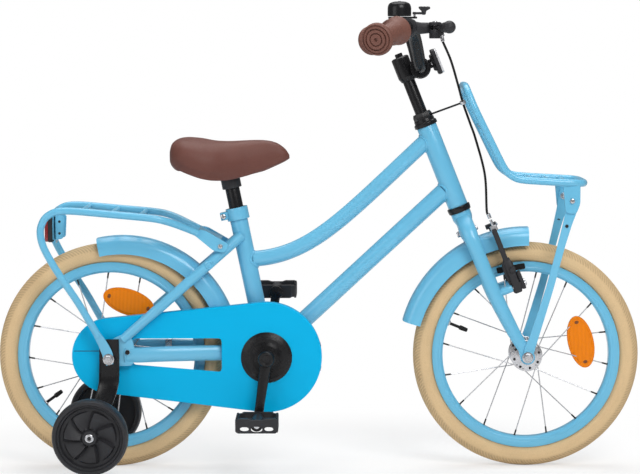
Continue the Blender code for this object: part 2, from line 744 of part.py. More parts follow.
def make_fork():
    """Fork: steerer with its nut, crown, two blades and the brake bosses."""
    crown_top = -CUP_HEIGHT - SEAT_GAP
    steerer_top = HEAD_LENGTH + 0.0235
    post = turned([(0.0, -0.040), (0.0120, -0.040), (0.0178, -0.022), (0.0178, crown_top),
                   (STEERER_RADIUS, crown_top), (STEERER_RADIUS, steerer_top),
                   (0.0, steerer_top)], HEAD_FOOT, HEAD_UP, 16)
    for side in (RIGHT, LEFT):
        join(post, fork_leg(side))
    meet = FRONT_AXLE - HEAD_FOOT
    reach = meet.dot(HEAD_UP) + (FRONT_GUARD_RADIUS ** 2 - meet.dot(HEAD_AHEAD) ** 2) ** 0.5
    sag = FRONT_GUARD_RADIUS * (1 - cos(FRONT_GUARD_SPAN / FRONT_GUARD_STEPS / 2))
    join(post, rod(steer(-0.03), steer(reach - sag + 2 * SEAT_GAP), 0.0050, 6))
    for side in (RIGHT, LEFT):
        foot = brake_pivot(side, 0.004)
        join(post, rod(foot, brake_pivot(side, BRAKE_PLANE + 0.0098), BOSS_RADIUS, 6))
    nut_foot = HEAD_LENGTH + UPPER_CUP_HEIGHT + 2 * SEAT_GAP
    nut_top = nut_foot + LOCKNUT_HEIGHT
    thread = STEERER_RADIUS * cos(pi / 8) - 0.0003
    join(post, turned([(thread, nut_foot), (CUP_RADIUS * 0.84, nut_foot),
                       (CUP_RADIUS * 0.84, nut_foot + 0.006), (CUP_RADIUS * 0.74, nut_top),
                       (thread, nut_top)], HEAD_FOOT, HEAD_UP, 8, ring=True))
    join(post, cable_guide(nut_foot + 0.003))
    cut(post, rod(steer(0.040), steer(steerer_top + 0.01), STEERER_BORE, 14))
    hole = AXLE_RADIUS + SEAT_GAP
    cut(post, rod(FRONT_AXLE - Y * 0.08, FRONT_AXLE + Y * 0.08, hole, 12))
    finish(post, "fork", "pale_blue_paint", "steering_axis")


def cable_guide(foot_up):
    """The wire that stands out from under the nut, with the eye that holds the cable."""
    eye = cable_eye()
    way = steer(*UNDER_EYE) - steer(*OVER_EYE)
    bore = (CABLE_RADIUS + SEAT_GAP) / cos(pi / 8) + SEAT_GAP
    ring = turned([(bore, -0.003), (GUIDE_EYE_RADIUS, -0.003), (GUIDE_EYE_RADIUS, 0.003),
                   (bore, 0.003)], eye, way, 8, ring=True)
    foot = steer(foot_up, 0.010, -0.007)
    wire = rod(foot, eye + (foot - eye).normalized() * (bore + 0.0012), GUIDE_ROD_RADIUS, 6)
    return join(ring, wire)


def brake_pivot(side, ahead):
    """A point on a brake boss's axis."""
    return steer(BRAKE_PIVOT_UP, ahead, side * BRAKE_PIVOT_OFFSET)


def brake_arm(side):
    """One arm with its pad, bored for its boss and held by a screw."""
    inner = 0.0345
    shape = [(inner, -0.012), (0.0500, -0.012), (0.0530, 0.000), (0.0520, 0.018),
             (0.0480, 0.050), (0.0470, BRAKE_ARM_LENGTH), (0.0375, BRAKE_ARM_LENGTH),
             (0.0370, 0.060), (inner, 0.040)]
    middle = steer(BRAKE_PIVOT_UP, BRAKE_PLANE)
    outline = [(side * a, b) for a, b in shape]
    arm = prism(rounded(outline, 0.0025, 1), middle, Y, HEAD_UP, 2 * BRAKE_ARM_HALF)
    rim_middle = RIM_OUTER_RADIUS - 0.0095
    plane = HEAD_FOOT + HEAD_AHEAD * (BRAKE_PLANE + 0.003)
    to_plane = (plane - FRONT_AXLE).dot(HEAD_AHEAD)
    up = (rim_middle ** 2 - to_plane ** 2) ** 0.5
    pad_at = FRONT_AXLE + HEAD_AHEAD * to_plane + HEAD_UP * up
    out = (pad_at - FRONT_AXLE).normalized()
    along = out.cross(Y) * -1
    face = RIM_WIDTH / 2 + PAD_GAP
    pad = block(pad_at + Y * side * (face + PAD_THICKNESS / 2),
                (PAD_LENGTH, PAD_THICKNESS, 0.010), along, out, 0.0015)
    post = rod(pad_at + Y * side * (face + 0.004), pad_at + Y * side * 0.043, 0.0032, 6)
    join(arm, post, pad)
    screw = brake_pivot(side, BRAKE_PLANE + BRAKE_ARM_HALF)
    join(arm, rod(screw - HEAD_AHEAD * 0.003, screw + HEAD_AHEAD * 0.0025, 0.0085, 10))
    hole = brake_pivot(side, 0.0)
    cut(arm, rod(hole, brake_pivot(side, BRAKE_PLANE + 0.010), BOSS_RADIUS + RUN_GAP, 6))
    top = steer(BRAKE_PIVOT_UP + BRAKE_ARM_LENGTH - 0.004, BRAKE_PLANE,
                side * BRAKE_PIPE_OFFSET)
    if side == RIGHT:
        start = top + HEAD_UP * 0.002
        pipe = [start, start + HEAD_UP * 0.008 + Y * -0.001, start + HEAD_UP * 0.016]
        join(arm, tube(pipe, 0.0025, 1))
    else:
        join(arm, rod(top - HEAD_AHEAD * 0.010, top + HEAD_AHEAD * 0.010, 0.0045, 8))
    return arm


def make_brake():
    """The two arms of the front brake, each on its own boss."""
    for side, name in ((RIGHT, "right"), (LEFT, "left")):
        joint = "brake_" + name + "_axis"
        pivot(joint, brake_pivot(side, BRAKE_PLANE), "steering_axis")
        finish(brake_arm(side), "brake_arm_" + name, "black_plastic", joint)


def bar_side(side):
    """The middle line of one half of the handlebar, from the clamp to its end."""
    clamp = stem_clamp()
    rise = [(0.0, 0.0, 0.0), (0.0, 0.022, 0.0), (-0.002, 0.040, 0.006),
            (-0.008, 0.066, 0.036), (-0.014, 0.088, 0.058), (-0.021, 0.108, 0.069),
            (-0.030, 0.130, 0.0705), (-0.0413, 0.158, 0.0655), (-0.0818, 0.250, 0.0487)]
    return [clamp + Vector((a, side * b, c)) for a, b, c in rise]


def stem_clamp():
    """Middle of the handlebar in the stem's clamp."""
    return steer(STEM_TOP - CLAMP_DROP, CLAMP_AHEAD)


def grip_line(side):
    """Start, direction and length of one grip along the bar's end."""
    line = bar_side(side)
    along = (line[-1] - line[-2]).normalized()
    return line[-1] + along * (GRIP_CAP + SEAT_GAP), along * -1


def make_cockpit():
    """Stem, handlebar, grips, lever body, bell and front reflector."""
    clamp = stem_clamp()
    quill = rod(steer(0.060), steer(STEM_TOP - 0.030), STEM_RADIUS, 12)
    head = turned([(0.0, STEM_TOP - 0.056), (0.0125, STEM_TOP - 0.056),
                   (0.0158, STEM_TOP - 0.046), (0.0158, STEM_TOP - 0.002),
                   (0.0, STEM_TOP)], HEAD_FOOT, HEAD_UP, 14)
    neck = loft_along([steer(STEM_TOP - CLAMP_DROP, 0.004), clamp - HEAD_AHEAD * 0.004],
                      [(0.0145, 0.0120), (0.0140, 0.0150)], HEAD_UP, 8)
    ring = rod(clamp - Y * CLAMP_HALF, clamp + Y * CLAMP_HALF, CLAMP_RADIUS, 14)
    bolt = rod(steer(STEM_TOP - 0.002), steer(STEM_TOP + 0.0065), 0.0068, 6)
    join(quill, head, neck, ring, bolt)
    cut(quill, rod(clamp - Y * 0.03, clamp + Y * 0.03, BAR_RADIUS + SEAT_GAP, 14))
    finish(quill, "stem", "black_steel", "steering_axis")

    finish(tube(bar_line(), BAR_RADIUS, 2), "handlebar", "black_steel", "steering_axis")

    for side, name in ((RIGHT, "right"), (LEFT, "left")):
        start, along = grip_line(side)
        bore = BAR_RADIUS + SEAT_GAP + 0.0006
        profile = [(0.0, 0.0), (GRIP_END_RADIUS * 0.72, 0.0), (GRIP_END_RADIUS, 0.005),
                   (GRIP_END_RADIUS, 0.010), (GRIP_RADIUS + 0.0025, 0.019),
                   (GRIP_RADIUS, 0.030), (GRIP_RADIUS + 0.001, GRIP_LENGTH - 0.020),
                   (GRIP_RADIUS + 0.008, GRIP_LENGTH - 0.005),
                   (GRIP_RADIUS + 0.006, GRIP_LENGTH), (bore, GRIP_LENGTH),
                   (bore, GRIP_CAP), (0.0, GRIP_CAP)]
        finish(turned(profile, start, along, 12), "grip_" + name,
               "brown_rubber", "steering_axis")


def bar_line():
    """The handlebar's whole middle line, from its right end to its left."""
    return list(reversed(bar_side(RIGHT))) + bar_side(LEFT)[1:]


def bar_point(side, out):
    """A point on the bar's middle line at the given distance from the middle plane."""
    route = bar_side(side)
    for before, after in zip(route, route[1:]):
        if abs(before.y) <= out <= abs(after.y):
            t = (out - abs(before.y)) / (abs(after.y) - abs(before.y))
            return before.lerp(after, t), (after - before).normalized()
    return route[-1], (route[-1] - route[-2]).normalized()


def make_lever():
    """Brake lever: the body clamped on the bar, and the blade on its pin."""
    place, along = bar_point(RIGHT, LEVER_AT)
    hinge = stem_clamp() + LEVER_REACH
    pin = hinge + Y * 0.006
    body = rod(place - along * 0.008, place + along * 0.008, 0.0160, 12)
    arm = loft_along([place + X * 0.008, place.lerp(pin, 0.5) - Z * 0.001, pin - X * 0.002],
                     [(0.0095, 0.0080), (0.0085, 0.0075), (0.0080, 0.0075)], Z, 8, 0.8)
    barrel_foot = pin + BARREL_START + BARREL_WAY * BARREL_LENGTH
    barrel = rod(pin + BARREL_START, barrel_foot, 0.0048, 8)
    ear = block(pin + Vector((0.008, 0.008, -0.001)), (0.022, 0.014, 0.012), X, Z, 0.002)
    boss = rod(hinge - Z * 0.0185, hinge + Z * 0.0095, LEVER_BOSS_RADIUS, 10)
    join(body, arm, ear, boss, barrel)
    cut(body, tube(bar_line(), BAR_RADIUS + SEAT_GAP, 2))
    cut(body, block(hinge + Vector((0.006, -0.002, 0.0)), (0.038, 0.0230, 0.0068)))
    join(body, rod(hinge - Z * 0.0060, hinge + Z * 0.0060, LEVER_PIN_RADIUS, 6))
    finish(body, "brake_lever_body", "black_plastic", "steering_axis")

    pivot("brake_lever_axis", hinge, "steering_axis")
    ball = hinge + Vector((0.020, -LEVER_LENGTH, 0.0))
    path = smooth([hinge + Vector((0.001, 0.002, 0.0)), hinge + Vector((0.0125, -0.014, 0.0)),
                   hinge + Vector((0.020, -0.040, 0.0)), hinge + Vector((0.021, -0.066, 0.0)),
                   ball], 2)
    halves = [(0.0030, 0.0060)] * 3 + [(0.0042, 0.0058)] * (len(path) - 3)
    blade = loft_along(path, halves, Z, 8)
    end = turned([(0.0, -0.011), (0.0072, -0.0080), (0.0102, 0.0), (0.0072, 0.0080),
                  (0.0, 0.011)], ball, Y, 10)
    join(blade, end)
    bore = (LEVER_PIN_RADIUS + SEAT_GAP) / cos(pi / 6)
    cut(blade, rod(hinge - Z * 0.02, hinge + Z * 0.02, bore, 6))
    finish(blade, "brake_lever", "black_plastic", "brake_lever_axis")
    return barrel_foot


def cable_line(barrel_foot):
    """Points along the brake cable, from the lever's barrel down to the right brake arm."""
    start = barrel_foot + BARREL_WAY * SEAT_GAP
    end = steer(BRAKE_PIVOT_UP + BRAKE_ARM_LENGTH + 0.0166, BRAKE_PLANE, -BRAKE_PIPE_OFFSET)
    return [start, start + BARREL_WAY * 0.005, start + BARREL_WAY * 0.010,
            steer(0.2462, 0.0780, -0.086), steer(*OVER_EYE), cable_eye(), steer(*UNDER_EYE),
            steer(0.1006, 0.0705, -0.036), steer(0.0373, 0.0630, -0.034),
            end + HEAD_UP * 0.016, end + HEAD_UP * 0.008, end]


def cable_eye():
    """Middle of the guide's eye, where the cable passes through it."""
    return steer(GUIDE_UP, GUIDE_AHEAD, -GUIDE_OUT)


def make_cable(barrel_foot):
    """The brake cable in its casing, from the lever down to the brake."""
    route = cable_line(barrel_foot)
    finish(tube(smooth(route, 2), CABLE_RADIUS, 1), "brake_cable", "black_plastic",
           "steering_axis")


def make_bell():
    """Bell: its clamp on the bar with the dome over it, and the thumb lever."""
    place, along = bar_point(LEFT, BELL_AT)
    base = rod(place - along * 0.006, place + along * 0.006, 0.0150, 12)
    seat = place + BELL_SEAT
    post = rod(seat - Z * 0.006, seat + Z * 0.001, 0.0100, 6)
    dish = rod(seat, seat + Z * 0.0035, BELL_RADIUS - 0.001, 12)
    ear = block(seat + Vector((BELL_RADIUS + 0.0035, 0.0, 0.0018)), (0.014, 0.012, 0.0036))
    pin = seat + Vector((BELL_RADIUS + 0.0060, 0.0, 0.003))
    join(base, post, dish, ear)
    join(base, rod(pin, pin + Z * 0.0095, BELL_PIN_RADIUS, 6))
    cut(base, tube(bar_line(), BAR_RADIUS + SEAT_GAP, 2))
    foot = 0.0045
    high = foot + BELL_HEIGHT
    dome = turned([(0.0, 0.0), (0.0035, 0.0), (0.0035, high - 0.0022),
                   (0.0182, high - 0.0070), (BELL_RADIUS - 0.0017, foot), (BELL_RADIUS, foot),
                   (BELL_RADIUS, high - 0.0095), (0.0190, high - 0.0045),
                   (0.0120, high - 0.0010), (0.0, high)], seat, Z, 11)
    join(base, dome)
    finish(base, "bell", "black_steel", "steering_axis")
    pivot("bell_lever_axis", pin, "steering_axis")
    lever = prism(rounded([(-0.0036, -0.0036), (0.0080, -0.0040), (0.0190, 0.0080),
                           (0.0170, 0.0120), (-0.0036, 0.0038)], 0.0012, 1),
                  pin + Z * 0.0068, X, Y, 0.0042)
    tab = block(pin + Vector((0.0165, 0.0090, 0.0100)), (0.0040, 0.0085, 0.0120))
    join(lever, tab)
    bore = (BELL_PIN_RADIUS + SEAT_GAP) / cos(pi / 6)
    cut(lever, rod(pin, pin + Z * 0.02, bore, 6))
    finish(lever, "bell_lever", "black_plastic", "bell_lever_axis")


def make_front_reflector():
    """White reflector on its bracket in front of the stem clamp."""
    clamp = stem_clamp()
    face = clamp + HEAD_AHEAD * (CLAMP_RADIUS + 0.0148)
    lens = prism(rounded([(-0.027, -0.023), (0.027, -0.023), (0.027, 0.023),
                          (-0.027, 0.023)], 0.008, 3), face, Y, HEAD_UP, 0.010)
    arm = block(clamp + HEAD_AHEAD * (CLAMP_RADIUS + SEAT_GAP + 0.0055),
                (0.0110, 0.014, 0.016), HEAD_AHEAD, HEAD_UP)
    join(lens, arm)
    finish(lens, "front_reflector", "clear_plastic", "steering_axis")


def guard(centre, radius, start, span, steps):
    """A mudguard: a deep channel of thin sheet carried round an arc."""
    half, sheet, depth = GUARD_HALF, GUARD_SHEET, GUARD_DEPTH
    outer = [(radius - depth, half), (radius - 0.011, half), (radius, half * 0.58)]
    inner = [(radius - depth, half - sheet), (radius - 0.011 - sheet * 0.5, half - sheet),
             (radius - sheet, half * 0.58 - sheet * 0.5)]
    profile = outer + [(r, -y) for r, y in reversed(outer)]
    profile += [(r, -y) for r, y in inner] + list(reversed(inner))
    rings = []
    for step in range(steps + 1):
        angle = start + span * step / steps
        rings.append([from_axle(centre, angle, r, y) for r, y in profile])
    return loft(rings)


def make_guards():
    """Front mudguard, turning with the fork, and rear one under the seat stays."""
    front = guard(FRONT_AXLE, FRONT_GUARD_RADIUS, FRONT_GUARD_START, FRONT_GUARD_SPAN,
                  FRONT_GUARD_STEPS)
    finish(front, "front_mudguard", "pale_blue_paint", "steering_axis")
    rear = guard(rear_guard_centre(), REAR_GUARD_RADIUS, REAR_GUARD_START, REAR_GUARD_SPAN,
                 REAR_GUARD_STEPS)
    finish(rear, "rear_mudguard", "pale_blue_paint")


def rear_guard_centre():
    """The rear mudguard is drawn in at its tail, so its middle is ahead of the axle."""
    return REAR_AXLE + Vector((0.020, 0.0, 0.006))


def make_frame_tubes():
    """Main tubes of the frame, each mitred to what it is welded to."""
    seat_tube = rod(BRACKET, SEAT_TOP, SEAT_TUBE_RADIUS, 16)
    cut(seat_tube, rod(BRACKET + SEAT_UP * 0.060, SEAT_TOP + SEAT_UP * 0.01,
                       SEAT_POST_RADIUS + SEAT_GAP, 16))
    cut(seat_tube, rod(BRACKET - Y * 0.05, BRACKET + Y * 0.05,
                       BRACKET_SHELL_RADIUS - 0.0006, 20))
    shell = turned([(BRACKET_SHELL_RADIUS, -BRACKET_SHELL_HALF),
                    (BRACKET_SHELL_RADIUS, BRACKET_SHELL_HALF),
                    (BRACKET_BORE, BRACKET_SHELL_HALF), (BRACKET_BORE, -BRACKET_SHELL_HALF)],
                   BRACKET, Y, 20, ring=True)
    join(seat_tube, shell)
    slot = SEAT_TOP + SEAT_BACK * SEAT_TUBE_RADIUS - SEAT_UP * 0.012
    cut(seat_tube, block(slot, (0.010, 0.003, 0.030), SEAT_BACK, SEAT_UP))
    finish(seat_tube, "seat_tube", "pale_blue_paint")

    around_seat = SEAT_TUBE_RADIUS + SEAT_GAP
    around_head = HEAD_RADIUS + SEAT_GAP
    head_cutter = rod(steer(-0.01), steer(HEAD_LENGTH + 0.01), around_head, 20)
    top_head = steer(TOP_TUBE_ON_HEAD)
    top_seat = BRACKET + SEAT_UP * TOP_TUBE_ON_SEAT
    top_way = Vector((-0.732, 0.0, -0.681))
    line = bezier(top_head, top_head + top_way * 0.215, top_seat + Vector((0.112, 0.0, 0.002)),
                  top_seat, 10)
    top_tube = tube(line, TOP_TUBE_RADIUS, 3)
    cut(top_tube, head_cutter)
    cut(top_tube, rod(BRACKET, SEAT_TOP, around_seat, 20))
    finish(top_tube, "top_tube", "pale_blue_paint")

    down_tube = rod(BRACKET, steer(DOWN_TUBE_ON_HEAD), DOWN_TUBE_RADIUS, 14)
    cut(down_tube, rod(steer(-0.01), steer(HEAD_LENGTH + 0.01), around_head, 20))
    cut(down_tube, rod(BRACKET - Y * 0.05, BRACKET + Y * 0.05,
                       BRACKET_SHELL_RADIUS + SEAT_GAP, 20))
    cut(down_tube, rod(BRACKET, SEAT_TOP, around_seat, 20))
    finish(down_tube, "down_tube", "pale_blue_paint")


def end_outline(grow=0.0):
    """Outline of a rear end plate, which the two stays of its side are set into."""
    x, z = REAR_AXLE.x, REAR_AXLE.z
    return [(x - 0.017, z - 0.013 - grow), (x + 0.040, z - 0.0125 - grow),
            (x + 0.049 + grow, z + 0.003), (x + 0.041 + grow, z + 0.035 + grow),
            (x + 0.030, z + 0.046 + grow), (x + 0.008 - grow, z + 0.036 + grow),
            (x - 0.017 - grow, z + 0.012)]


def make_stays():
    """Chain stays with their end plates, and the seat stays with their bridge."""
    x, z = REAR_AXLE.x, REAR_AXLE.z
    for side, name in ((RIGHT, "right"), (LEFT, "left")):
        route = [(x + 0.030, STAY_OUT, z + 0.006), (x + 0.052, STAY_OUT, z + 0.0065),
                 (x + 0.085, 0.0535, z + 0.0075), (x + 0.182, 0.0362, z + 0.0075),
                 (x + 0.218, 0.0275, z + 0.006), (x + 0.250, 0.0240, z + 0.002),
                 (BRACKET.x - 0.004, 0.0235, BRACKET.z)]
        path = [Vector((a, side * b, c)) for a, b, c in route]
        height = STAY_HEIGHT
        width = STAY_WIDTH
        halves = [(height * 0.9, 0.0045), (height, 0.0065), (height, width),
                  (height, width * 0.95), (height, width * 0.9), (height * 0.95, width * 0.9),
                  (height * 0.9, width * 0.9)]
        stay = loft_along(path, halves, Z, 8)
        plate = side_plate(rounded(end_outline(), 0.005, 2), side, REAR_END,
                           REAR_END + END_THICKNESS)
        join(stay, plate)
        cut(stay, rod(BRACKET - Y * 0.05, BRACKET + Y * 0.05,
                      BRACKET_SHELL_RADIUS + SEAT_GAP, 20))
        fit = AXLE_RADIUS + SEAT_GAP
        nose = [(fit * cos(pi * k / 8), fit * sin(pi * k / 8)) for k in range(-4, 5)]
        slot = [(x + a, z + b) for a, b in nose] + [(x - 0.03, z + fit), (x - 0.03, z - fit)]
        cut(stay, side_plate(slot, side, REAR_END - 0.005, REAR_END + 0.010))
        finish(stay, "chain_stay_" + name, "pale_blue_paint")

    stays = None
    for side in (RIGHT, LEFT):
        route = [(x + 0.0245, STAY_OUT + 0.0002, z + 0.034),
                 (x + 0.055, STAY_OUT + 0.0002, z + 0.0605),
                 (x + 0.098, STAY_OUT - 0.0006, z + 0.0975),
                 (x + 0.150, 0.0440, z + 0.1425), (x + 0.195, 0.0285, z + 0.1815),
                 (x + 0.232, 0.0150, z + 0.2135)]
        path = [Vector((a, side * b, c)) for a, b, c in route]
        stay = tube(path, SEAT_STAY_RADIUS, 2, swell=[0.86, 0.94, 1.0, 1.0, 1.0, 1.0])
        slot = side_plate(end_outline(SEAT_GAP + 0.0008), side, REAR_END - SEAT_GAP,
                          REAR_END + END_THICKNESS + SEAT_GAP)
        cut(stay, slot)
        stays = stay if stays is None else join(stays, stay)
    bridge = Vector((x + 0.1765, 0.0, z + 0.1640))
    join(stays, rod(bridge - Y * 0.036, bridge + Y * 0.036, 0.0060, 8))
    centre = rear_guard_centre()
    away = (bridge - centre).normalized()
    seat = centre + away * (REAR_GUARD_RADIUS + SEAT_GAP)
    join(stays, rod(seat, bridge + away * 0.011, 0.0040, 6))
    cut(stays, rod(BRACKET, SEAT_TOP, SEAT_TUBE_RADIUS + SEAT_GAP, 20))
    finish(stays, "seat_stays", "pale_blue_paint")


def make_seat():
    """Seat clamp on the frame, and the post with its saddle that slides in it."""
    inner = SEAT_TUBE_RADIUS + SEAT_GAP
    top = SEAT_TUBE_LENGTH + 0.001
    collar = turned([(inner, top), (inner + 0.0038, top), (inner + 0.0038, top - CLAMP_HEIGHT),
                     (inner, top - CLAMP_HEIGHT)], BRACKET, SEAT_UP, 16, ring=True)
    lug_at = BRACKET + SEAT_UP * (top - 0.011) + SEAT_BACK * (inner + 0.0075)
    lug = block(lug_at, (0.014, 0.018, 0.014), SEAT_BACK, SEAT_UP)
    cut(lug, rod(BRACKET, SEAT_TOP + SEAT_UP * 0.01, inner + 0.001, 20))
    join(collar, lug)
    cut(collar, block(lug_at - SEAT_BACK * 0.002, (0.022, 0.0024, 0.030), SEAT_BACK, SEAT_UP))
    bolt_at = lug_at + SEAT_BACK * 0.002
    join(collar, rod(bolt_at - Y * 0.0145, bolt_at + Y * 0.0135, 0.0050, 8))
    finish(collar, "seat_clamp", "pale_blue_paint")

    pivot("seat_slide", SEAT_TOP)
    post_top = SEAT_TUBE_LENGTH + SADDLE_RISE
    finish(rod(BRACKET + SEAT_UP * 0.118, BRACKET + SEAT_UP * post_top, SEAT_POST_RADIUS, 16),
           "seat_post", "black_steel", "seat_slide")
    make_saddle(BRACKET + SEAT_UP * post_top)


def saddle_ring(station):
    """One section of the saddle; a station is (x, bottom, top, half width)."""
    x, bottom, top, half = station
    height = top - bottom
    points = []
    shape = ((0.55, 0.0), (0.86, 0.10), (0.99, 0.36), (0.97, 0.60), (0.82, 0.82), (0.52, 0.955),
             (0.0, 1.0))
    for across, up in shape:
        points.append(Vector((x, half * across, bottom + height * up)))
    for across, up in reversed(shape[:-1]):
        points.append(Vector((x, -half * across, bottom + height * up)))
    return points


def make_saddle(post_top):
    """Padded saddle cover over a moulded base that grips the seat post."""
    base = Vector((post_top.x, 0.0, post_top.z))
    wide = SADDLE_WIDTH / 2
    stations = [(-0.1045, 0.0260, 0.0480, 0.40), (-0.1000, 0.0180, 0.0600, 0.68),
                (-0.0880, 0.0070, 0.0675, 0.88), (-0.0720, -0.0030, 0.0690, 0.98),
                (-0.0480, -0.0125, 0.0655, 1.00), (-0.0250, -0.0145, 0.0612, 0.90),
                (0.0000, -0.0125, 0.0600, 0.69), (0.0300, -0.0030, 0.0615, 0.47),
                (0.0600, 0.0085, 0.0635, 0.345), (0.0820, 0.0180, 0.0605, 0.295),
                (0.0980, 0.0255, 0.0505, 0.24), (0.1065, 0.0310, 0.0390, 0.14)]
    stations = [(base.x + a, base.z + b, base.z + c, wide * d) for a, b, c, d in stations]
    cover = loft([saddle_ring(s) for s in stations])
    pad = SADDLE_PADDING
    inside = [(x, b - 0.030, min(b + 0.034, t - pad), w - pad) for x, b, t, w in stations[2:-3]]
    pocket = loft([pan_section(s) for s in inside])
    cut(cover, pocket)
    finish(cover, "saddle_cover", "brown_leatherette", "seat_slide", 45)

    gap = SEAT_GAP
    pan_stations = [(x, b + 0.012, min(b + 0.034, t - pad) - gap, w - pad - gap)
                    for x, b, t, w in stations[3:-4]]
    pan = loft([pan_section(s) for s in pan_stations])
    socket = rod(post_top - SEAT_UP * 0.022, post_top + SEAT_UP * 0.006,
                 SEAT_POST_RADIUS + 0.0045, 14)
    join(pan, socket)
    cut(pan, rod(post_top - SEAT_UP * 0.04, post_top + SEAT_UP * SEAT_GAP,
                 SEAT_POST_RADIUS + SEAT_GAP, 16))
    finish(pan, "saddle_base", "black_plastic", "seat_slide")


def pan_section(station):
    """A flat-bottomed section with rounded upper corners, for the base and its pocket."""
    x, bottom, top, half = station
    shape = ((half, bottom), (half, top - 0.010), (half * 0.92, top - 0.003), (half * 0.78, top))
    points = [Vector((x, a, b)) for a, b in shape]
    points += [Vector((x, -a, b)) for a, b in reversed(shape)]
    return points


def sprocket(centre, teeth, pitch_radius, hub_radius, inner, outer):
    """A toothed plate on a hub that reaches between two distances on the right."""
    outline = []
    for tooth in range(teeth):
        middle = 2 * pi * tooth / teeth
        for turn, depth in ((0.0, 0.0022), (0.5, -0.0046)):
            angle = middle + turn * 2 * pi / teeth
            radius = pitch_radius + depth
            outline.append((centre.x + radius * cos(angle), centre.z + radius * sin(angle)))
    half = TOOTH_THICKNESS / 2
    plate = side_plate(outline, RIGHT, CHAIN_LINE - half, CHAIN_LINE + half)
    boss = rod(centre - Y * inner, centre - Y * outer, hub_radius, 12)
    return join(plate, boss)


def make_drive():
    """Chainring, cranks, pedals, rear sprocket, chain and the case over them."""
    pivot("crank_axis", BRACKET)
    ring = sprocket(BRACKET, FRONT_TEETH, FRONT_PITCH_RADIUS, 0.0180, 0.0368, 0.0530)
    disc = turned([(0.0, 0.0), (COVER_RADIUS, 0.0), (COVER_RADIUS - 0.006, 0.0034),
                   (0.0, 0.0046)], BRACKET - Y * (CASE_OUTER + RUN_GAP), -Y, 20)
    join(ring, disc)
    bore = SPINDLE_RADIUS + SEAT_GAP
    cut(ring, rod(BRACKET - Y * 0.03, BRACKET - Y * 0.06, bore, 12))
    finish(ring, "chainring_with_disc", "black_plastic", "crank_axis")

    finish(rod(BRACKET - Y * SPINDLE_HALF, BRACKET + Y * SPINDLE_HALF, SPINDLE_RADIUS, 12),
           "crank_spindle", "bright_steel", "crank_axis")
    finish(turned([(BRACKET_BORE - SEAT_GAP, -BRACKET_SHELL_HALF - 0.0015),
                   (BRACKET_BORE - SEAT_GAP, BRACKET_SHELL_HALF + 0.0015),
                   (SPINDLE_RADIUS + RUN_GAP, BRACKET_SHELL_HALF + 0.0015),
                   (SPINDLE_RADIUS + RUN_GAP, -BRACKET_SHELL_HALF - 0.0015)],
                  BRACKET, Y, 16, ring=True), "bottom_bracket_bearing", "bright_steel")

    for side, name in ((RIGHT, "right"), (LEFT, "left")):
        way = Vector((-sin(CRANK_TILT), 0.0, -cos(CRANK_TILT))) * (1 if side == RIGHT else -1)
        make_crank(side, name, way)
    make_rear_sprocket()
    make_chain()
    make_case()


def make_crank(side, name, way):
    """One crank with its pedal axle, and the pedal that turns on it."""
    out = Y * side
    eye = BRACKET + way * CRANK_LENGTH
    boss = rod(BRACKET + out * CRANK_BOSS, BRACKET + out * (SPINDLE_HALF + 0.003), 0.0145, 12)
    arm = loft_along([BRACKET + out * 0.0655, BRACKET + way * 0.030 + out * 0.0665,
                      BRACKET + way * (CRANK_LENGTH - 0.02) + out * CRANK_OUT,
                      eye + out * CRANK_OUT],
                     [(0.0058, 0.0105), (0.0060, 0.0090), (0.0058, 0.0078), (0.0060, 0.0088)],
                     Y, 8, 0.75)
    tip = rod(eye + out * (CRANK_OUT - 0.0062), eye + out * (CRANK_OUT + 0.0066), 0.0118, 10)
    join(boss, arm, tip)
    axle_end = PEDAL_START + PEDAL_WIDTH - 0.004
    join(boss, rod(eye + out * CRANK_OUT, eye + out * axle_end, PEDAL_AXLE_RADIUS, 10))
    bore = SPINDLE_RADIUS + SEAT_GAP
    cut(boss, rod(BRACKET + out * 0.04, BRACKET + out * (SPINDLE_HALF + SEAT_GAP), bore, 12))
    finish(boss, "crank_" + name, "black_steel", "crank_axis")

    joint = "pedal_" + name + "_axis"
    pivot(joint, eye + out * (PEDAL_START + PEDAL_WIDTH / 2), "crank_axis")
    finish(pedal(eye, side), "pedal_" + name, "black_plastic", joint)


def pedal(eye, side):
    """A moulded cage pedal: a bored barrel, side walls with windows, and studs."""
    out = Y * side
    middle = eye + out * (PEDAL_START + PEDAL_WIDTH / 2)
    shape = [(-0.037, -PEDAL_WIDTH / 2 + 0.008), (-0.020, -PEDAL_WIDTH / 2),
             (0.020, -PEDAL_WIDTH / 2), (0.037, -PEDAL_WIDTH / 2 + 0.008),
             (0.037, PEDAL_WIDTH / 2 - 0.008), (0.028, PEDAL_WIDTH / 2),
             (-0.028, PEDAL_WIDTH / 2), (-0.037, PEDAL_WIDTH / 2 - 0.008)]
    shape = [(a, side * b) for a, b in shape]
    body = prism(shape, middle, X, Y, 0.026)
    for fore in (-1, 1):
        cut(body, block(middle + X * (fore * 0.0210), (0.0210, PEDAL_WIDTH - 0.018, 0.05)))
    for fore in (-0.021, 0.021):
        cut(body, block(middle + Vector((fore, side * PEDAL_WIDTH / 2, -0.0055)),
                        (0.015, 0.03, 0.0080)))
    cut(body, block(middle + Vector((0.0, side * PEDAL_WIDTH / 2, -0.0065)),
                    (0.020, 0.009, 0.0110)))
    bore = PEDAL_AXLE_RADIUS + RUN_GAP
    cut(body, rod(eye + out * (PEDAL_START - 0.005), eye + out * (PEDAL_START + PEDAL_WIDTH
                                                                - 0.003), bore, 10))
    return body


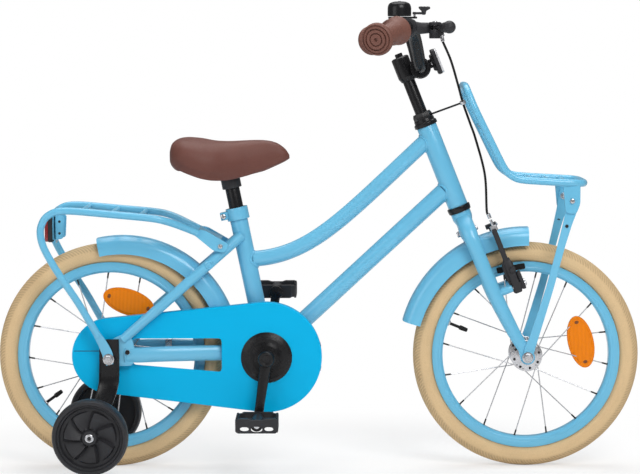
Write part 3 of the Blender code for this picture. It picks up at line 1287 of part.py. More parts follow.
def make_rear_sprocket():
    """The driver with its sprocket, which turns on the rear axle beside the hub."""
    pivot("rear_sprocket_axis", REAR_AXLE)
    plate = sprocket(REAR_AXLE, REAR_TEETH, REAR_PITCH_RADIUS, 0.0150,
                     BRACKET_SHELL_HALF + RUN_GAP, 0.0500)
    cut(plate, rod(REAR_AXLE - Y * 0.02, REAR_AXLE - Y * 0.06, AXLE_RADIUS + RUN_GAP, 12))
    finish(plate, "rear_sprocket", "bright_steel", "rear_sprocket_axis")


def make_chain():
    """The chain as one smooth channel round both sprockets, open towards the teeth."""
    line = hull_outline(BRACKET, FRONT_PITCH_RADIUS, REAR_AXLE, REAR_PITCH_RADIUS, 16, 10)
    line = [Vector((a, -CHAIN_LINE, b)) for a, b in line]
    half, wall, deep, floor, top = 0.0040, 0.0017, -0.0034, 0.0033, 0.0046
    section = [(top, -half), (top, half), (deep, half), (deep, half - wall),
               (floor, half - wall), (floor, wall - half), (deep, wall - half), (deep, -half)]
    rings = []
    for i, point in enumerate(line):
        along = line[(i + 1) % len(line)] - line[i - 1]
        outward = Y.cross(along).normalized()
        rings.append([point + outward * a + Y * b for a, b in section])
    finish(loft(rings, closed=True), "chain", "bright_steel")


def make_case():
    """The chain case: one moulded cover with an edge wall, a window and two holes."""
    whole = hull_outline(BRACKET, CASE_FRONT_RADIUS, CASE_REAR_CENTRE, CASE_REAR_RADIUS, 18, 11)
    inside = hull_outline(BRACKET, CASE_FRONT_RADIUS - CASE_WALL, CASE_REAR_CENTRE,
                          CASE_REAR_RADIUS - CASE_WALL, 18, 11)
    case = side_plate(whole, RIGHT, CASE_INNER, CASE_OUTER)
    cut(case, side_plate(inside, RIGHT, CASE_INNER - 0.002, CASE_OUTER - CASE_WALL))
    x, z = REAR_AXLE.x, REAR_AXLE.z
    window = rounded([(x + 0.041, z - 0.0115), (BRACKET.x - 0.079, z - 0.0250),
                      (BRACKET.x - 0.079, z + 0.0345), (x + 0.041, z + 0.0345)], 0.006, 2)
    cut(case, side_plate(window, RIGHT, CASE_OUTER - 0.006, CASE_OUTER + 0.006))
    cut(case, rod(BRACKET - Y * 0.040, BRACKET - Y * 0.060, COVER_RADIUS - 0.004, 18))
    cut(case, rod(REAR_AXLE - Y * 0.040, REAR_AXLE - Y * 0.060, 0.0165, 16))
    finish(case, "chain_case", "bright_blue_plastic")


def make_side_wheels():
    """Stabilisers: a pressed bracket on each end of the rear axle, and its wheel."""
    x, z = REAR_AXLE.x, REAR_AXLE.z
    inner = REAR_END + END_THICKNESS + SEAT_GAP
    wheel_z = SIDE_WHEEL_LIFT + SIDE_WHEEL_RADIUS
    wheel_x = x - SIDE_WHEEL_BACK
    foot_out = SIDE_WHEEL_TRACK - SIDE_WHEEL_HALF - 0.0075
    sheet = SIDE_BRACKET_THICKNESS
    for side, name in ((RIGHT, "right"), (LEFT, "left")):
        middle = inner + sheet / 2
        route = [(x + 0.001, middle, z + 0.035, 0.0170), (x + 0.001, middle, z + 0.004, 0.0178),
                 (x + 0.0005, middle, z - 0.040, 0.0178), (x - 0.0030, 0.0720, z - 0.058, 0.0178),
                 (wheel_x + 0.012, 0.0960, z - 0.088, 0.0178),
                 (wheel_x + 0.003, foot_out - 0.0025, wheel_z + 0.022, 0.0170),
                 (wheel_x, foot_out, wheel_z, 0.0150), (wheel_x, foot_out, wheel_z - 0.016, 0.0100)]
        rings = []
        flange = 0.0080
        for a, out, up, half in route:
            lip = flange if up < z + 0.03 else 0.0045
            back = flange if up < z - 0.01 else sheet + 0.0001
            rib = [(-half, 0.0), (-half, back), (sheet - half, back), (sheet - half, sheet),
                   (half - sheet, sheet), (half - sheet, lip), (half, lip), (half, 0.0)]
            rings.append([Vector((a + across, side * (out - sheet / 2 + deep), up))
                          for across, deep in rib])
        bracket = loft(rings)
        hole = AXLE_RADIUS + SEAT_GAP
        cut(bracket, rod(REAR_AXLE - Y * 0.12, REAR_AXLE + Y * 0.12, hole, 12))
        axle = Vector((wheel_x, 0.0, wheel_z))
        join(bracket, rod(axle + Y * side * (foot_out - 0.001),
                          axle + Y * side * (SIDE_WHEEL_TRACK + SIDE_WHEEL_HALF - 0.004),
                          0.0050, 12))
        finish(bracket, "side_wheel_bracket_" + name, "black_steel")
        joint = "side_wheel_" + name + "_axis"
        pivot(joint, axle + Y * side * SIDE_WHEEL_TRACK)
        finish(side_wheel(axle, side), "side_wheel_" + name, "black_plastic", joint)


def side_wheel(axle, side):
    """A moulded wheel with a dished face and a hub cap, bored for its axle."""
    r, half = SIDE_WHEEL_RADIUS, SIDE_WHEEL_HALF
    bore = 0.0050 + RUN_GAP
    middle = axle + Y * side * SIDE_WHEEL_TRACK
    profile = [(0.0, half - 0.0036), (bore, half - 0.0036), (bore, -half), (0.013, -half),
               (0.014, -0.002), (r - 0.012, -0.002), (r - 0.010, -half), (r - 0.002, -half),
               (r, 0.0), (r - 0.002, half), (r - 0.008, half), (r - 0.011, 0.006),
               (0.013, 0.004), (0.012, half - 0.002), (0.0, half - 0.002)]
    wheel = turned(profile, middle, Y * side, 20)
    return wheel


def make_coaster_arm():
    """The back-pedal brake's reaction arm, clipped to the left chain stay."""
    x, z = REAR_AXLE.x, REAR_AXLE.z
    outline = []
    for step in range(13):
        angle = pi / 2 + pi * step / 12
        outline.append((x + 0.014 * cos(angle), z + 0.014 * sin(angle)))
    outline += [(x + 0.050, z - 0.0200), (x + 0.105, z - 0.0190), (x + 0.105, z - 0.0110),
                (x + 0.050, z - 0.0070)]
    outline = outline[::-1]
    arm = side_plate(outline, LEFT, 0.0440, 0.0464)
    cut(arm, rod(REAR_AXLE + Y * 0.03, REAR_AXLE + Y * 0.06, 0.0085 + SEAT_GAP, 12))
    clip = block(Vector((x + 0.098, 0.0505, z - 0.0070)), (0.012, 0.0160, 0.0125))
    join(arm, clip)
    stay_near = [(x + 0.085, 0.0535, z + 0.0075), (x + 0.182, 0.0362, z + 0.0075)]
    path = [Vector(p) for p in stay_near]
    cutter = loft_along(path, [(STAY_HEIGHT + SEAT_GAP, STAY_WIDTH + SEAT_GAP)] * 2, Z, 12)
    cut(arm, cutter)
    finish(arm, "coaster_brake_arm", "bright_steel")


def front_rack_line():
    """Middle line of the front carrier's tube, a closed loop bent up at the back."""
    half = FRONT_RACK_HALF
    x, z = FRONT_AXLE.x, FRONT_AXLE.z
    side = [(-0.1105, half * 0.62, 0.4770), (-0.1065, half * 0.92, 0.4640),
            (-0.0960, half, 0.4380), (-0.0490, half, 0.3420), (-0.0400, half, 0.3270),
            (-0.0240, half, 0.3160), (-0.0060, half, 0.3130), (0.0700, half, 0.3085),
            (0.0900, half * 0.92, 0.3075), (0.0980, half * 0.62, 0.3070)]
    right = [Vector((x + a, RIGHT * b, z + c)) for a, b, c in side]
    left = [Vector((x + a, LEFT * b, z + c)) for a, b, c in reversed(side)]
    return right + left


def make_front_rack():
    """Front carrier: the bent loop with its cross tubes and plates, and its two legs."""
    rack = tube(front_rack_line(), RACK_TUBE_RADIUS, 2, closed=True)
    x, z = FRONT_AXLE.x, FRONT_AXLE.z
    half = FRONT_RACK_HALF
    crosses = [(0.005, 0.3125), (0.036, 0.3108), (0.066, 0.3088), (-0.0800, 0.4065)]
    for a, c in crosses:
        place = Vector((x + a, 0.0, z + c))
        join(rack, rod(place - Y * half, place + Y * half, CROSS_TUBE_RADIUS, 6))
    plate_out = half
    for side in (RIGHT, LEFT):
        outline = [(x + 0.0625, z + 0.2560), (x + 0.0810, z + 0.2540),
                   (x + 0.0880, z + 0.2720), (x + 0.0880, z + 0.3090), (x + 0.0575, z + 0.3105)]
        join(rack, side_plate(outline, side, plate_out - LEG_STRIP / 2,
                              plate_out + LEG_STRIP / 2))
    finish(rack, "front_rack", "pale_blue_paint", "steering_axis")

    leg_top_out = plate_out - LEG_STRIP - SEAT_GAP
    foot_out = FRONT_END + FORK_END_THICKNESS + SEAT_GAP + LEG_STRIP / 2
    for side, name in ((RIGHT, "right"), (LEFT, "left")):
        stations = [(0.0000, -0.0100, foot_out, 0.0060), (0.0000, 0.0000, foot_out, 0.0092),
                    (0.0030, 0.0150, foot_out, 0.0090), (0.0095, 0.0320, foot_out + 0.0008, 0.0085),
                    (0.0370, 0.1230, foot_out + 0.008, 0.0083),
                    (0.0560, 0.1980, leg_top_out - 0.004, 0.0083),
                    (0.0670, 0.2400, leg_top_out, 0.0090),
                    (0.0735, 0.2620, leg_top_out, 0.0100),
                    (0.0755, 0.2800, leg_top_out, 0.0105), (0.0755, 0.2900, leg_top_out, 0.0070)]
        path = [Vector((x + a, side * out, z + c)) for a, c, out, _ in stations]
        rings = []
        for i, point in enumerate(path):
            before = path[max(i - 1, 0)]
            after = path[min(i + 1, len(path) - 1)]
            across = (after - before).cross(Y).normalized() * stations[i][3]
            deep = Y * (LEG_STRIP / 2)
            rings.append([point + across + deep, point - across + deep,
                          point - across - deep, point + across - deep])
        leg = loft(rings)
        hole = rod(FRONT_AXLE - Y * 0.1, FRONT_AXLE + Y * 0.1, AXLE_RADIUS + SEAT_GAP, 12)
        cut(leg, hole)
        finish(leg, "front_rack_leg_" + name, "pale_blue_paint", "steering_axis")


def rear_rack_line(side):
    """Middle line of one bent side tube, from beside the axle to the front plate."""
    x, z = REAR_AXLE.x, REAR_AXLE.z
    half = REAR_RACK_HALF
    foot = REAR_END + END_THICKNESS + SIDE_BRACKET_THICKNESS + LEG_STRIP / 2 + 2 * SEAT_GAP
    points = [(-0.0170, foot + 0.0030, 0.0400), (-0.0520, foot + 0.0080, 0.1020),
              (-0.0760, half - 0.0030, 0.1380), (-0.0985, half, 0.1750),
              (-0.1130, half, 0.2040), (-0.1165, half, 0.2290), (-0.1080, half, 0.2500),
              (-0.0900, half, 0.2610), (-0.0650, half, 0.2625), (0.0700, half, 0.2500),
              (0.0925, half * 0.97, 0.2465), (0.1150, half * 0.83, 0.2390),
              (0.1420, half * 0.62, 0.2270), (0.1560, half * 0.565, 0.2205)]
    return [Vector((x + a, side * b, z + c)) for a, b, c in points]


def make_rear_rack():
    """Rear carrier: two bent tubes, cross tubes and the plate over the seat stays."""
    x, z = REAR_AXLE.x, REAR_AXLE.z
    half = REAR_RACK_HALF
    foot = REAR_END + END_THICKNESS + SIDE_BRACKET_THICKNESS + 2 * SEAT_GAP
    rack = None
    for side in (RIGHT, LEFT):
        line = rear_rack_line(side)
        rail = tube(line, RACK_TUBE_RADIUS, 2)
        way = (line[0] - line[1]).normalized()
        tail = line[0]
        ends = [tail - way * 0.010, tail + way * 0.004, tail + way * 0.016,
                Vector((x - 0.002, side * (foot + LEG_STRIP / 2), z + 0.010)),
                Vector((x, side * (foot + LEG_STRIP / 2), z - 0.001)),
                Vector((x + 0.002, side * (foot + LEG_STRIP / 2), z - 0.0095))]
        strip = LEG_STRIP / 2
        sides = [(0.0040, 0.0040), (0.0038, 0.0060), (strip, 0.0080), (strip, 0.0092),
                 (strip, 0.0092), (strip, 0.0050)]
        to_corner = 2 ** 0.5
        halves = [(thick * to_corner, wide * to_corner) for thick, wide in sides]
        tab = loft_along(ends, halves, Y, 4)
        join(rail, tab)
        rack = rail if rack is None else join(rack, rail)
    for a, c in ((-0.0450, 0.2605), (0.0060, 0.2555), (0.0560, 0.2510), (-0.0975, 0.2570)):
        place = Vector((x + a, 0.0, z + c))
        join(rack, rod(place - Y * half, place + Y * half, CROSS_TUBE_RADIUS, 6))
    mount = Vector((x - 0.0975, 0.0, z + 0.2300))
    join(rack, block(mount, (0.0030, 0.040, 0.060)))
    inner = 0.0403
    for side in (RIGHT, LEFT):
        outline = [(x + 0.1470, z + 0.2190), (x + 0.1850, z + 0.1880), (x + 0.2040, z + 0.1850),
                   (x + 0.2120, z + 0.2000), (x + 0.1700, z + 0.2245), (x + 0.1560, z + 0.2270)]
        join(rack, side_plate(outline, side, inner, inner + 0.0034))
    web = [(x + 0.1560, z + 0.2270), (x + 0.1570, z + 0.2240), (x + 0.1960, z + 0.2060),
           (x + 0.1975, z + 0.2088)]
    join(rack, prism(web, Vector((0.0, 0.0, 0.0)), X, Z, 2 * inner + 0.004))
    hole = rod(REAR_AXLE - Y * 0.1, REAR_AXLE + Y * 0.1, AXLE_RADIUS + SEAT_GAP, 12)
    cut(rack, hole)
    finish(rack, "rear_rack", "pale_blue_paint")

    face = mount - X * (0.0015 + SEAT_GAP)
    shell = prism(rounded([(-0.029, -0.0245), (0.029, -0.0245), (0.029, 0.0245),
                           (-0.029, 0.0245)], 0.006, 3), face - X * 0.0075 - Z * 0.003, Y, Z,
                  0.015)
    finish(shell, "rear_reflector", "red_plastic")


def build():
    """Make every piece of the bicycle."""
    clear_scene()
    pivot("steering_axis", HEAD_FOOT)
    make_frame_tubes()
    make_stays()
    make_head()
    make_fork()
    make_wheels()
    make_axles()
    make_brake()
    make_cockpit()
    barrel_foot = make_lever()
    make_cable(barrel_foot)
    make_bell()
    make_front_reflector()
    make_guards()
    make_drive()
    make_seat()
    make_side_wheels()
    make_coaster_arm()
    make_front_rack()
    make_rear_rack()


build()
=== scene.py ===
from math import asin, cos, pi, radians, sin, sqrt

import bpy
import numpy as np
from bpy.props import FloatProperty, FloatVectorProperty, IntProperty, PointerProperty
from bpy.types import Operator, Panel, PropertyGroup
from mathutils import Matrix


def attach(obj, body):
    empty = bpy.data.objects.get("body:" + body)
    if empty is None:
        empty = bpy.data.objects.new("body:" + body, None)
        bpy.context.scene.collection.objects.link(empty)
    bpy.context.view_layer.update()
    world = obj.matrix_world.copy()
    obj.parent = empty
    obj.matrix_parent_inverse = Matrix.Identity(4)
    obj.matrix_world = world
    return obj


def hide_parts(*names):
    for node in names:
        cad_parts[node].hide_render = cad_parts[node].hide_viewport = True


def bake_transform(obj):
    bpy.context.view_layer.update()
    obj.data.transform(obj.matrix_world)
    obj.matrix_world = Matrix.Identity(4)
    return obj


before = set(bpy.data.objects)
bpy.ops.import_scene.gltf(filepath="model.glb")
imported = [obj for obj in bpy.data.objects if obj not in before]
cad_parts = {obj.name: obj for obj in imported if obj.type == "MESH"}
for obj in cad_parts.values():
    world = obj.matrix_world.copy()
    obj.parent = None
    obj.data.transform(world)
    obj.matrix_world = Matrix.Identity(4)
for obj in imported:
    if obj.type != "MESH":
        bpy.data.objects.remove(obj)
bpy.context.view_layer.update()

bl_info = {"name": "Child's Bicycle",
           "version": (1, 0, 0), "blender": (4, 5, 0), "location": "3D View > Sidebar > Bicycle",
           "description": "Dresses a child's bicycle with carriers and stabilisers over its solids",
           "category": "Add Mesh"}

# Millimetres, +Z up, +X ahead, +Y to the rider's left, in the same places as the solids
MM = 0.001
X, Y, Z = np.eye(3)
RIGHT, LEFT = -1, 1
SIDES = ((RIGHT, "right"), (LEFT, "left"))
FRONT_AXLE = np.array([368, 0.0, 200])
REAR_AXLE = np.array([-368, 0.0, 200])
BRACKET = np.array([-91.5, 0.0, 200.3])
HEAD_FOOT = np.array([247.7, 0.0, 463.7])
HEAD_ANGLE = radians(68.45)
HEAD_UP = np.array([-cos(HEAD_ANGLE), 0.0, sin(HEAD_ANGLE)])
HEAD_AHEAD = np.array([sin(HEAD_ANGLE), 0.0, cos(HEAD_ANGLE)])
HEAD_LENGTH, HEAD_RADIUS = 152.5, 17.8
SEAT_ANGLE = radians(78.4)
SEAT_UP = np.array([-cos(SEAT_ANGLE), 0.0, sin(SEAT_ANGLE)])
SEAT_BACK = np.array([-sin(SEAT_ANGLE), 0.0, -cos(SEAT_ANGLE)])
SEAT_LENGTH, SEAT_RADIUS = 266.5, 15.6
TOP_RADIUS, DOWN_RADIUS, STAY_RADIUS, SHELL_RADIUS, RAIL_RADIUS = 14, 15.2, 9.2, 20.5, 6.4
REAR_END, FORK_END = 57.8, 49.3
POST_TOP = BRACKET + SEAT_UP * 324.5
RIM_OUTER, RIM_INNER, RIM_HALF = 166.5, 147.5, 12.5
TYRE_MIDDLE = 180.9
SPOKES = 16
SPOKE_LEAN = radians(52)
STEM_TOP = 283
BAR_RADIUS = 11.1
BRAKE_PLANE, BRAKE_UP = 43, -166
PAD_AHEAD, PAD_RADIUS = 30.97, 157
GUARD_DEPTH, GUARD_HALF = 31, 29
CHAIN_LINE, CHAIN_LINKS, CHAIN_PITCH = 39.5, 66, 12.7
FRONT_TEETH, REAR_TEETH = 28, 16
FRONT_PITCH = CHAIN_PITCH / (2 * sin(pi / FRONT_TEETH))
REAR_PITCH = CHAIN_PITCH / (2 * sin(pi / REAR_TEETH))
CRANK_WAY = np.array([-sin(radians(8.0)), 0.0, -cos(radians(8.0))])
CASE_OUTER, CASE_FACE, CASE_FRONT, CASE_BACK, CASE_RIM = 48, 46.4, 97.5, 66.5, 3.8
WINDOW_START, WINDOW_END, WINDOW_CORNER = -327, -170.5, 6
AXLE_HOLE, CRANK_HOLE = 16.5, 41
CRANK_LENGTH = 104
PEDAL_OUT, SIDE_WHEEL_OUT = 122, 140
SADDLE_HALF = 71
CLOTH_FRAMES = 20
SIDE_AXLE = np.array([-394, 0.0, 75])


def tint(name, description, *default):
    """A colour that can be set."""
    return FloatVectorProperty(name=name, description=description, subtype="COLOR", size=3, min=0.0,
                               max=1.0, default=default)


def measure(name, description, default, most):
    """A length in metres that can be set, from nothing to the most."""
    return FloatProperty(name=name, description=description, unit="LENGTH", default=default,
                         min=0.0, max=most)


class BicycleColours(PropertyGroup):
    """The colours that someone would change first."""
    paint: tint("Paint", "Enamel of the frame, rims, guards and carriers", 0.135, 0.460, 0.680)
    case: tint("Chain case", "Moulded cover over the chain", 0.0, 0.415, 0.735)
    tyres: tint("Tyres", "Rubber of the two tyres", 0.660, 0.475, 0.265)
    saddle: tint("Saddle", "Cover of the saddle", 0.130, 0.044, 0.032)
    grips: tint("Grips", "Rubber of the handlebar grips", 0.150, 0.060, 0.043)
    resin: tint("Black resin", "Pedals, brake and stabiliser wheels", 0.023, 0.023, 0.026)
    lenses: tint("Spoke reflectors", "Amber of the reflectors in the wheels", 0.800, 0.205, 0.004)


class BicycleSizes(PropertyGroup):
    """Detail that the solids leave out."""
    tread_ribs: IntProperty(name="Tread ribs", description="Ribs round each tyre", default=220,
                            min=24, max=240)
    tread_depth: measure("Tread depth", "Depth of the grooves between the ribs", 0.0011, 0.002)
    guard_ridge: measure("Guard ridges", "Height of the ridges pressed along the guards", 0.0009, 0.002)
    vane_depth: measure("Stabiliser vanes", "Rise of each vane on a stabiliser wheel's face",
                        0.0090, 0.010)
    saddle_swell: measure("Saddle swell", "Furthest that the padding pushes its cover out",
                          0.0030, 0.006)
    round_steps: IntProperty(name="Roundness", description="Sides of a frame tube", default=32,
                             min=8, max=64)


# Shapes

def unit(way):
    """The way divided by its length."""
    return way / np.linalg.norm(way, axis=-1, keepdims=True)


def turns(count):
    """Even angles once round."""
    return np.arange(count) * 2 * pi / count


def ways(turn, first, second):
    """cos(turn) * first + sin(turn) * second."""
    return np.cos(turn)[..., None] * first + np.sin(turn)[..., None] * second


def ramp(x, start, end):
    """0 up to the start, 1 from the end on, straight between them."""
    return np.clip((x - start) / (end - start), 0, 1)


def hill(x, middle, width):
    """exp(-((x - middle) / width)^2)."""
    return np.exp(-((x - middle) / width) ** 2)


def square_to(axis, hint=X):
    """Two directions square to the axis and to each other, the first nearest the hint."""
    axis = unit(np.asarray(axis, float))
    hint = np.asarray(hint, float)
    if abs(axis @ hint) > 0.95:
        hint = Z
    first = unit(hint - axis * (axis @ hint))
    return first, np.cross(axis, first), axis


def steer(rows):
    """Foot of the head tube + each row's (up, ahead, left) laid along the steering axes."""
    return HEAD_FOOT + np.asarray(rows, float) @ np.array([HEAD_UP, HEAD_AHEAD, Y])


def at(up, ahead=0, left=0):
    """One point laid along the steering axes."""
    return steer([(up, ahead, left)])[0]


def around(axle, angle, radius, side=0.0):
    """Axle + radius * (cos angle, 0, sin angle), and out to the side."""
    angle, radius, side = np.broadcast_arrays(angle, radius, side)
    return axle + np.stack([np.cos(angle) * radius, side, np.sin(angle) * radius], -1)


def curve(points, per_span=6):
    """On each span the cubic whose slopes at its ends are half of the way between the
    points on either side of them."""
    p = np.asarray(points, float)
    a = np.vstack([2 * p[0] - p[1], p[:-2]])[:, None]
    b, c = p[:-1, None], p[1:, None]
    d = np.vstack([p[2:], 2 * p[-1] - p[-2]])[:, None]
    t = (np.arange(per_span) / per_span)[None, :, None]
    spans = 0.5 * (2 * b + (c - a) * t + (2 * a - 5 * b + 4 * c - d) * t ** 2
                   + (3 * b - a - 3 * c + d) * t ** 3)
    return np.vstack([spans.reshape(-1, p.shape[1]), p[-1:]])


def eased(points, radius, steps=4, loop=False):
    """Each corner becomes (1-t)^2 start + 2t(1-t) corner + t^2 end, where start and end
    lie a radius away from it down its two sides."""
    p = np.asarray(points, float)
    before, after = np.roll(p, 1, 0) - p, np.roll(p, -1, 0) - p
    reach = np.broadcast_to(np.asarray(radius, float).reshape(-1, 1), (len(p), 1))
    start = p + unit(before) * np.minimum(reach, 0.45 * np.linalg.norm(before, axis=1, keepdims=True))
    end = p + unit(after) * np.minimum(reach, 0.45 * np.linalg.norm(after, axis=1, keepdims=True))
    t = np.linspace(0, 1, steps + 1)[None, :, None]
    arcs = (1 - t) ** 2 * start[:, None] + 2 * t * (1 - t) * p[:, None] + t ** 2 * end[:, None]
    if loop:
        return arcs.reshape(-1, p.shape[1])
    return np.vstack([p[:1], arcs[1:-1].reshape(-1, p.shape[1]), p[-1:]])


def bezier(a, b, c, d, count):
    """(1-t)^3 a + 3t(1-t)^2 b + 3t^2(1-t) c + t^3 d."""
    t = np.linspace(0, 1, count)[:, None]
    return a * (1 - t) ** 3 + b * 3 * t * (1 - t) ** 2 + c * 3 * t ** 2 * (1 - t) + d * t ** 3


def shell(grid, loop=False, ends="fan"):
    """Faces over rows of closed rings of points. The rows join into a loop, or each end is
    shut by a fan, or by a strip where the ring's second half runs back along its first.
    The faces are turned so that the volume inside them is positive."""
    rows, cols = grid.shape[:2]
    ids = np.arange(rows * cols).reshape(rows, cols)
    points = grid.reshape(-1, 3)
    shut = np.empty((0, 4), int)
    if loop:
        ids = np.vstack([ids, ids[:1]])
    elif ends == "strip":
        for row, order in ((ids[0], 1), (ids[-1], -1)):
            out, back = row[:cols // 2], row[:cols // 2 - 1:-1]
            strip = np.stack([out[:-1], out[1:], back[1:], back[:-1]], -1)
            shut = np.vstack([shut, strip[:, ::order]])
    else:
        points = np.vstack([points, grid[0].mean(0), grid[-1].mean(0)])
        ids = np.vstack([np.full(cols, rows * cols), ids, np.full(cols, rows * cols + 1)])
    ids = np.hstack([ids, ids[:, :1]])
    quads = np.stack([ids[:-1, :-1], ids[1:, :-1], ids[1:, 1:], ids[:-1, 1:]], -1)
    quads = np.vstack([quads.reshape(-1, 4), shut])
    first, last = quads[:, 0] == quads[:, 3], quads[:, 1] == quads[:, 2]
    tris = np.vstack([quads[first][:, :3], quads[last][:, [0, 1, 3]]])
    quads = quads[~(first | last)]
    corners = points[np.vstack([tris, quads[:, :3], quads[:, [0, 2, 3]]])]
    if (corners[:, 0] * np.cross(corners[:, 1], corners[:, 2])).sum() < 0:
        quads, tris = quads[:, ::-1], tris[:, ::-1]
    return points, quads, tris


def sweep(path, section, hint, size=1.0, loop=False, ends="fan"):
    """Path point + size * (section's first * across + second * up), where across is the
    hint made square to the path and up is square to both."""
    path = np.asarray(path, float)
    along = np.roll(path, -1, 0) - np.roll(path, 1, 0)
    if not loop:
        along[0], along[-1] = path[1] - path[0], path[-1] - path[-2]
    along = unit(along)
    across = unit(hint - (along @ hint)[:, None] * along)
    up = np.cross(along, across)
    size = np.asarray(size, float)
    size = np.broadcast_to(size[:, None] if size.ndim == 1 else size, (len(path), 2))
    section = np.broadcast_to(section, (len(path),) + np.shape(section)[-2:])
    grid = (path[:, None] + across[:, None] * (section[..., 0] * size[:, :1])[..., None]
            + up[:, None] * (section[..., 1] * size[:, 1:])[..., None])
    return shell(grid, loop, ends)


def circle(count=None, power=1.0):
    """(cos, sin) round a circle, each raised to the power: under 1 squares it up."""
    turn = (np.arange(count or bike().sizes.round_steps) + 0.5) * 2 * pi
    turn /= count or bike().sizes.round_steps
    flat = ways(turn, (1, 0), (0, 1))
    return np.sign(flat) * np.abs(flat) ** power


def box_section(wide, high, ease=1, steps=3):
    """A rectangle of these half sizes with eased corners."""
    return eased([(-wide, -high), (wide, -high), (wide, high), (-wide, high)], ease, steps, True)


def lathe(profile, centre, axis, steps=48, ring=False, hint=X):
    """Centre + radius * (cos first + sin second) + height * axis, for each (radius,
    height) of the profile, once round. A ring's profile closes on itself."""
    first, second, axis = square_to(axis, hint)
    profile = np.asarray(profile, float)
    radius = np.maximum(profile[:, 0], 0.01)
    grid = centre + radius[:, None,
                           None] * ways(turns(steps), first, second) + profile[:, 1, None, None] * axis
    return shell(grid, ring)


def hoop(inner, outer, low, high, centre, axis, steps=48, ease=0.8, detail=2):
    """A ring whose section is a rectangle between two radii and two heights."""
    corners = [(inner, low), (outer, low), (outer, high), (inner, high)]
    return lathe(eased(corners, ease, detail, True), centre, axis, steps, True)


def rod(start, end, radius, steps=24, ease=0.6):
    """A straight bar, its two rims eased."""
    start, end = np.asarray(start, float), np.asarray(end, float)
    length = np.linalg.norm(end - start)
    profile = eased([(0, 0), (radius, 0), (radius, length), (0, length)], ease, 2)
    return lathe(profile, start, end - start, steps)


def shaft(foot, way, low, high, radius, steps=24, ease=0.6):
    """A rod between two distances from the foot along the way."""
    return rod(foot + way * low, foot + way * high, radius, steps, ease)


def tube(points, radius, hint, bend=20, loop=False, size=1.0):
    """A round tube along the points, each corner eased to a bend."""
    path = eased(points, bend, 6, loop)
    if np.ndim(size):
        size = np.concatenate([size[:1], np.repeat(size[1:-1], 7), size[-1:]])
    return sweep(path, circle() * radius, hint, size, loop)


def plate(outline, centre, across, up, thickness, ease=0.5):
    """A flat outline given thickness; its faces are drawn in by the ease at their edges."""
    outline = np.asarray(outline, float)
    middle = outline.mean(0)
    across, up = unit(np.asarray(across, float)), unit(np.asarray(up, float))
    normal = np.cross(across, up)
    rows = []
    for height, drawn in ((-1, ease), (-1, 0), (1, 0), (1, ease)):
        flat = outline + unit(middle - outline) * drawn
        level = height * (thickness / 2 - (0 if drawn else ease))
        rows.append(centre + flat[:, :1] * across + flat[:, 1:] * up + normal * level)
    return shell(np.array(rows))


def block(centre, size, across=X, up=Z, ease=1):
    """A box of these sizes along across, square to both, and up, its edges eased."""
    across, up = unit(np.asarray(across, float)), unit(np.asarray(up, float))
    outline = box_section(size[0] / 2, size[2] / 2, ease)
    return plate(outline, centre, across, up, size[1], min(ease, size[1] / 3))


def pierced(x, low, high, hole_low, hole_high, near, far, ease=0.8):
    """A flat plate in X and Z with holes in a row: one bar from the hole's top to the
    upper edge and one from the lower edge to its foot, which meet where there is none."""
    parts = []
    for edge, inner, turn in ((high, hole_high, 1), (low, hole_low, -1)):
        drawn = np.minimum(ease, np.abs(edge - inner) * 0.45) * turn
        level = np.array([near, far, far, far - np.sign(far - near) * ease,
                          near + np.sign(far - near) * ease, near])
        rise = np.stack([inner, inner, edge - drawn, edge, edge, edge - drawn], 1)
        grid = np.stack([np.broadcast_to(x[:, None], rise.shape),
                         np.broadcast_to(level, rise.shape), rise], -1)
        parts.append(shell(grid))
    return parts


def repeat(part, origins, axes):
    """The part at each origin, its own x, y and z laid along the rows of the axes, which
    hold for all origins or are given for each."""
    points, quads, tris = part
    axes = np.broadcast_to(axes, (len(origins), 3, 3))
    placed = origins[:, None] + np.einsum("pi,nij->npj", points, axes)
    step = np.arange(len(origins))[:, None, None] * len(points)
    return placed.reshape(-1, 3), (quads + step).reshape(-1, 4), (tris + step).reshape(-1, 3)


def hex_nut(foot, axis, flats, height):
    """A six-sided nut with its corners turned off, on a thin round washer."""
    radius = flats / (2 * cos(pi / 6))
    nut = lathe([(radius * 0.88, 0.8), (radius, 1.8), (radius, height - 1.2), (radius * 0.86, height)],
                foot, axis, 6)
    washer = lathe(eased([(0, 0), (radius * 1.15, 0), (radius * 1.15, 1.2), (0, 1.2)], 0.3, 2),
                   foot, axis, 32)
    return [nut, washer]


def screw_head(foot, axis, radius, height):
    """A domed head with a round socket in its top."""
    return lathe([(radius, 0), (radius, height * 0.45), (radius * 0.86, height * 0.85),
                  (radius * 0.6, height), (radius * 0.36, height), (radius * 0.34, height * 0.35)],
                 foot, axis, 20)


def weld(place, way, radius, centre, axis, big):
    """The bead where a tube meets a bigger one: a thin round section carried along the
    points of the first tube's wall that lie on the second one's."""
    first, second, way = square_to(way, Y)
    wall = place + radius * ways(turns(40), first, second)
    axis = unit(np.asarray(axis, float))
    off = wall - centre
    off -= (off @ axis)[:, None] * axis
    run = way - (way @ axis) * axis
    a, b, c = run @ run, 2 * off @ run, (off ** 2).sum(1) - big ** 2
    reach = (-b + np.sqrt(np.maximum(b * b - 4 * a * c, 0))) / (2 * a)
    return sweep(wall + reach[:, None] * way, circle(8) * 2.1, way, loop=True)


def bike():
    """The settings of this scene."""
    return bpy.context.scene.bicycle


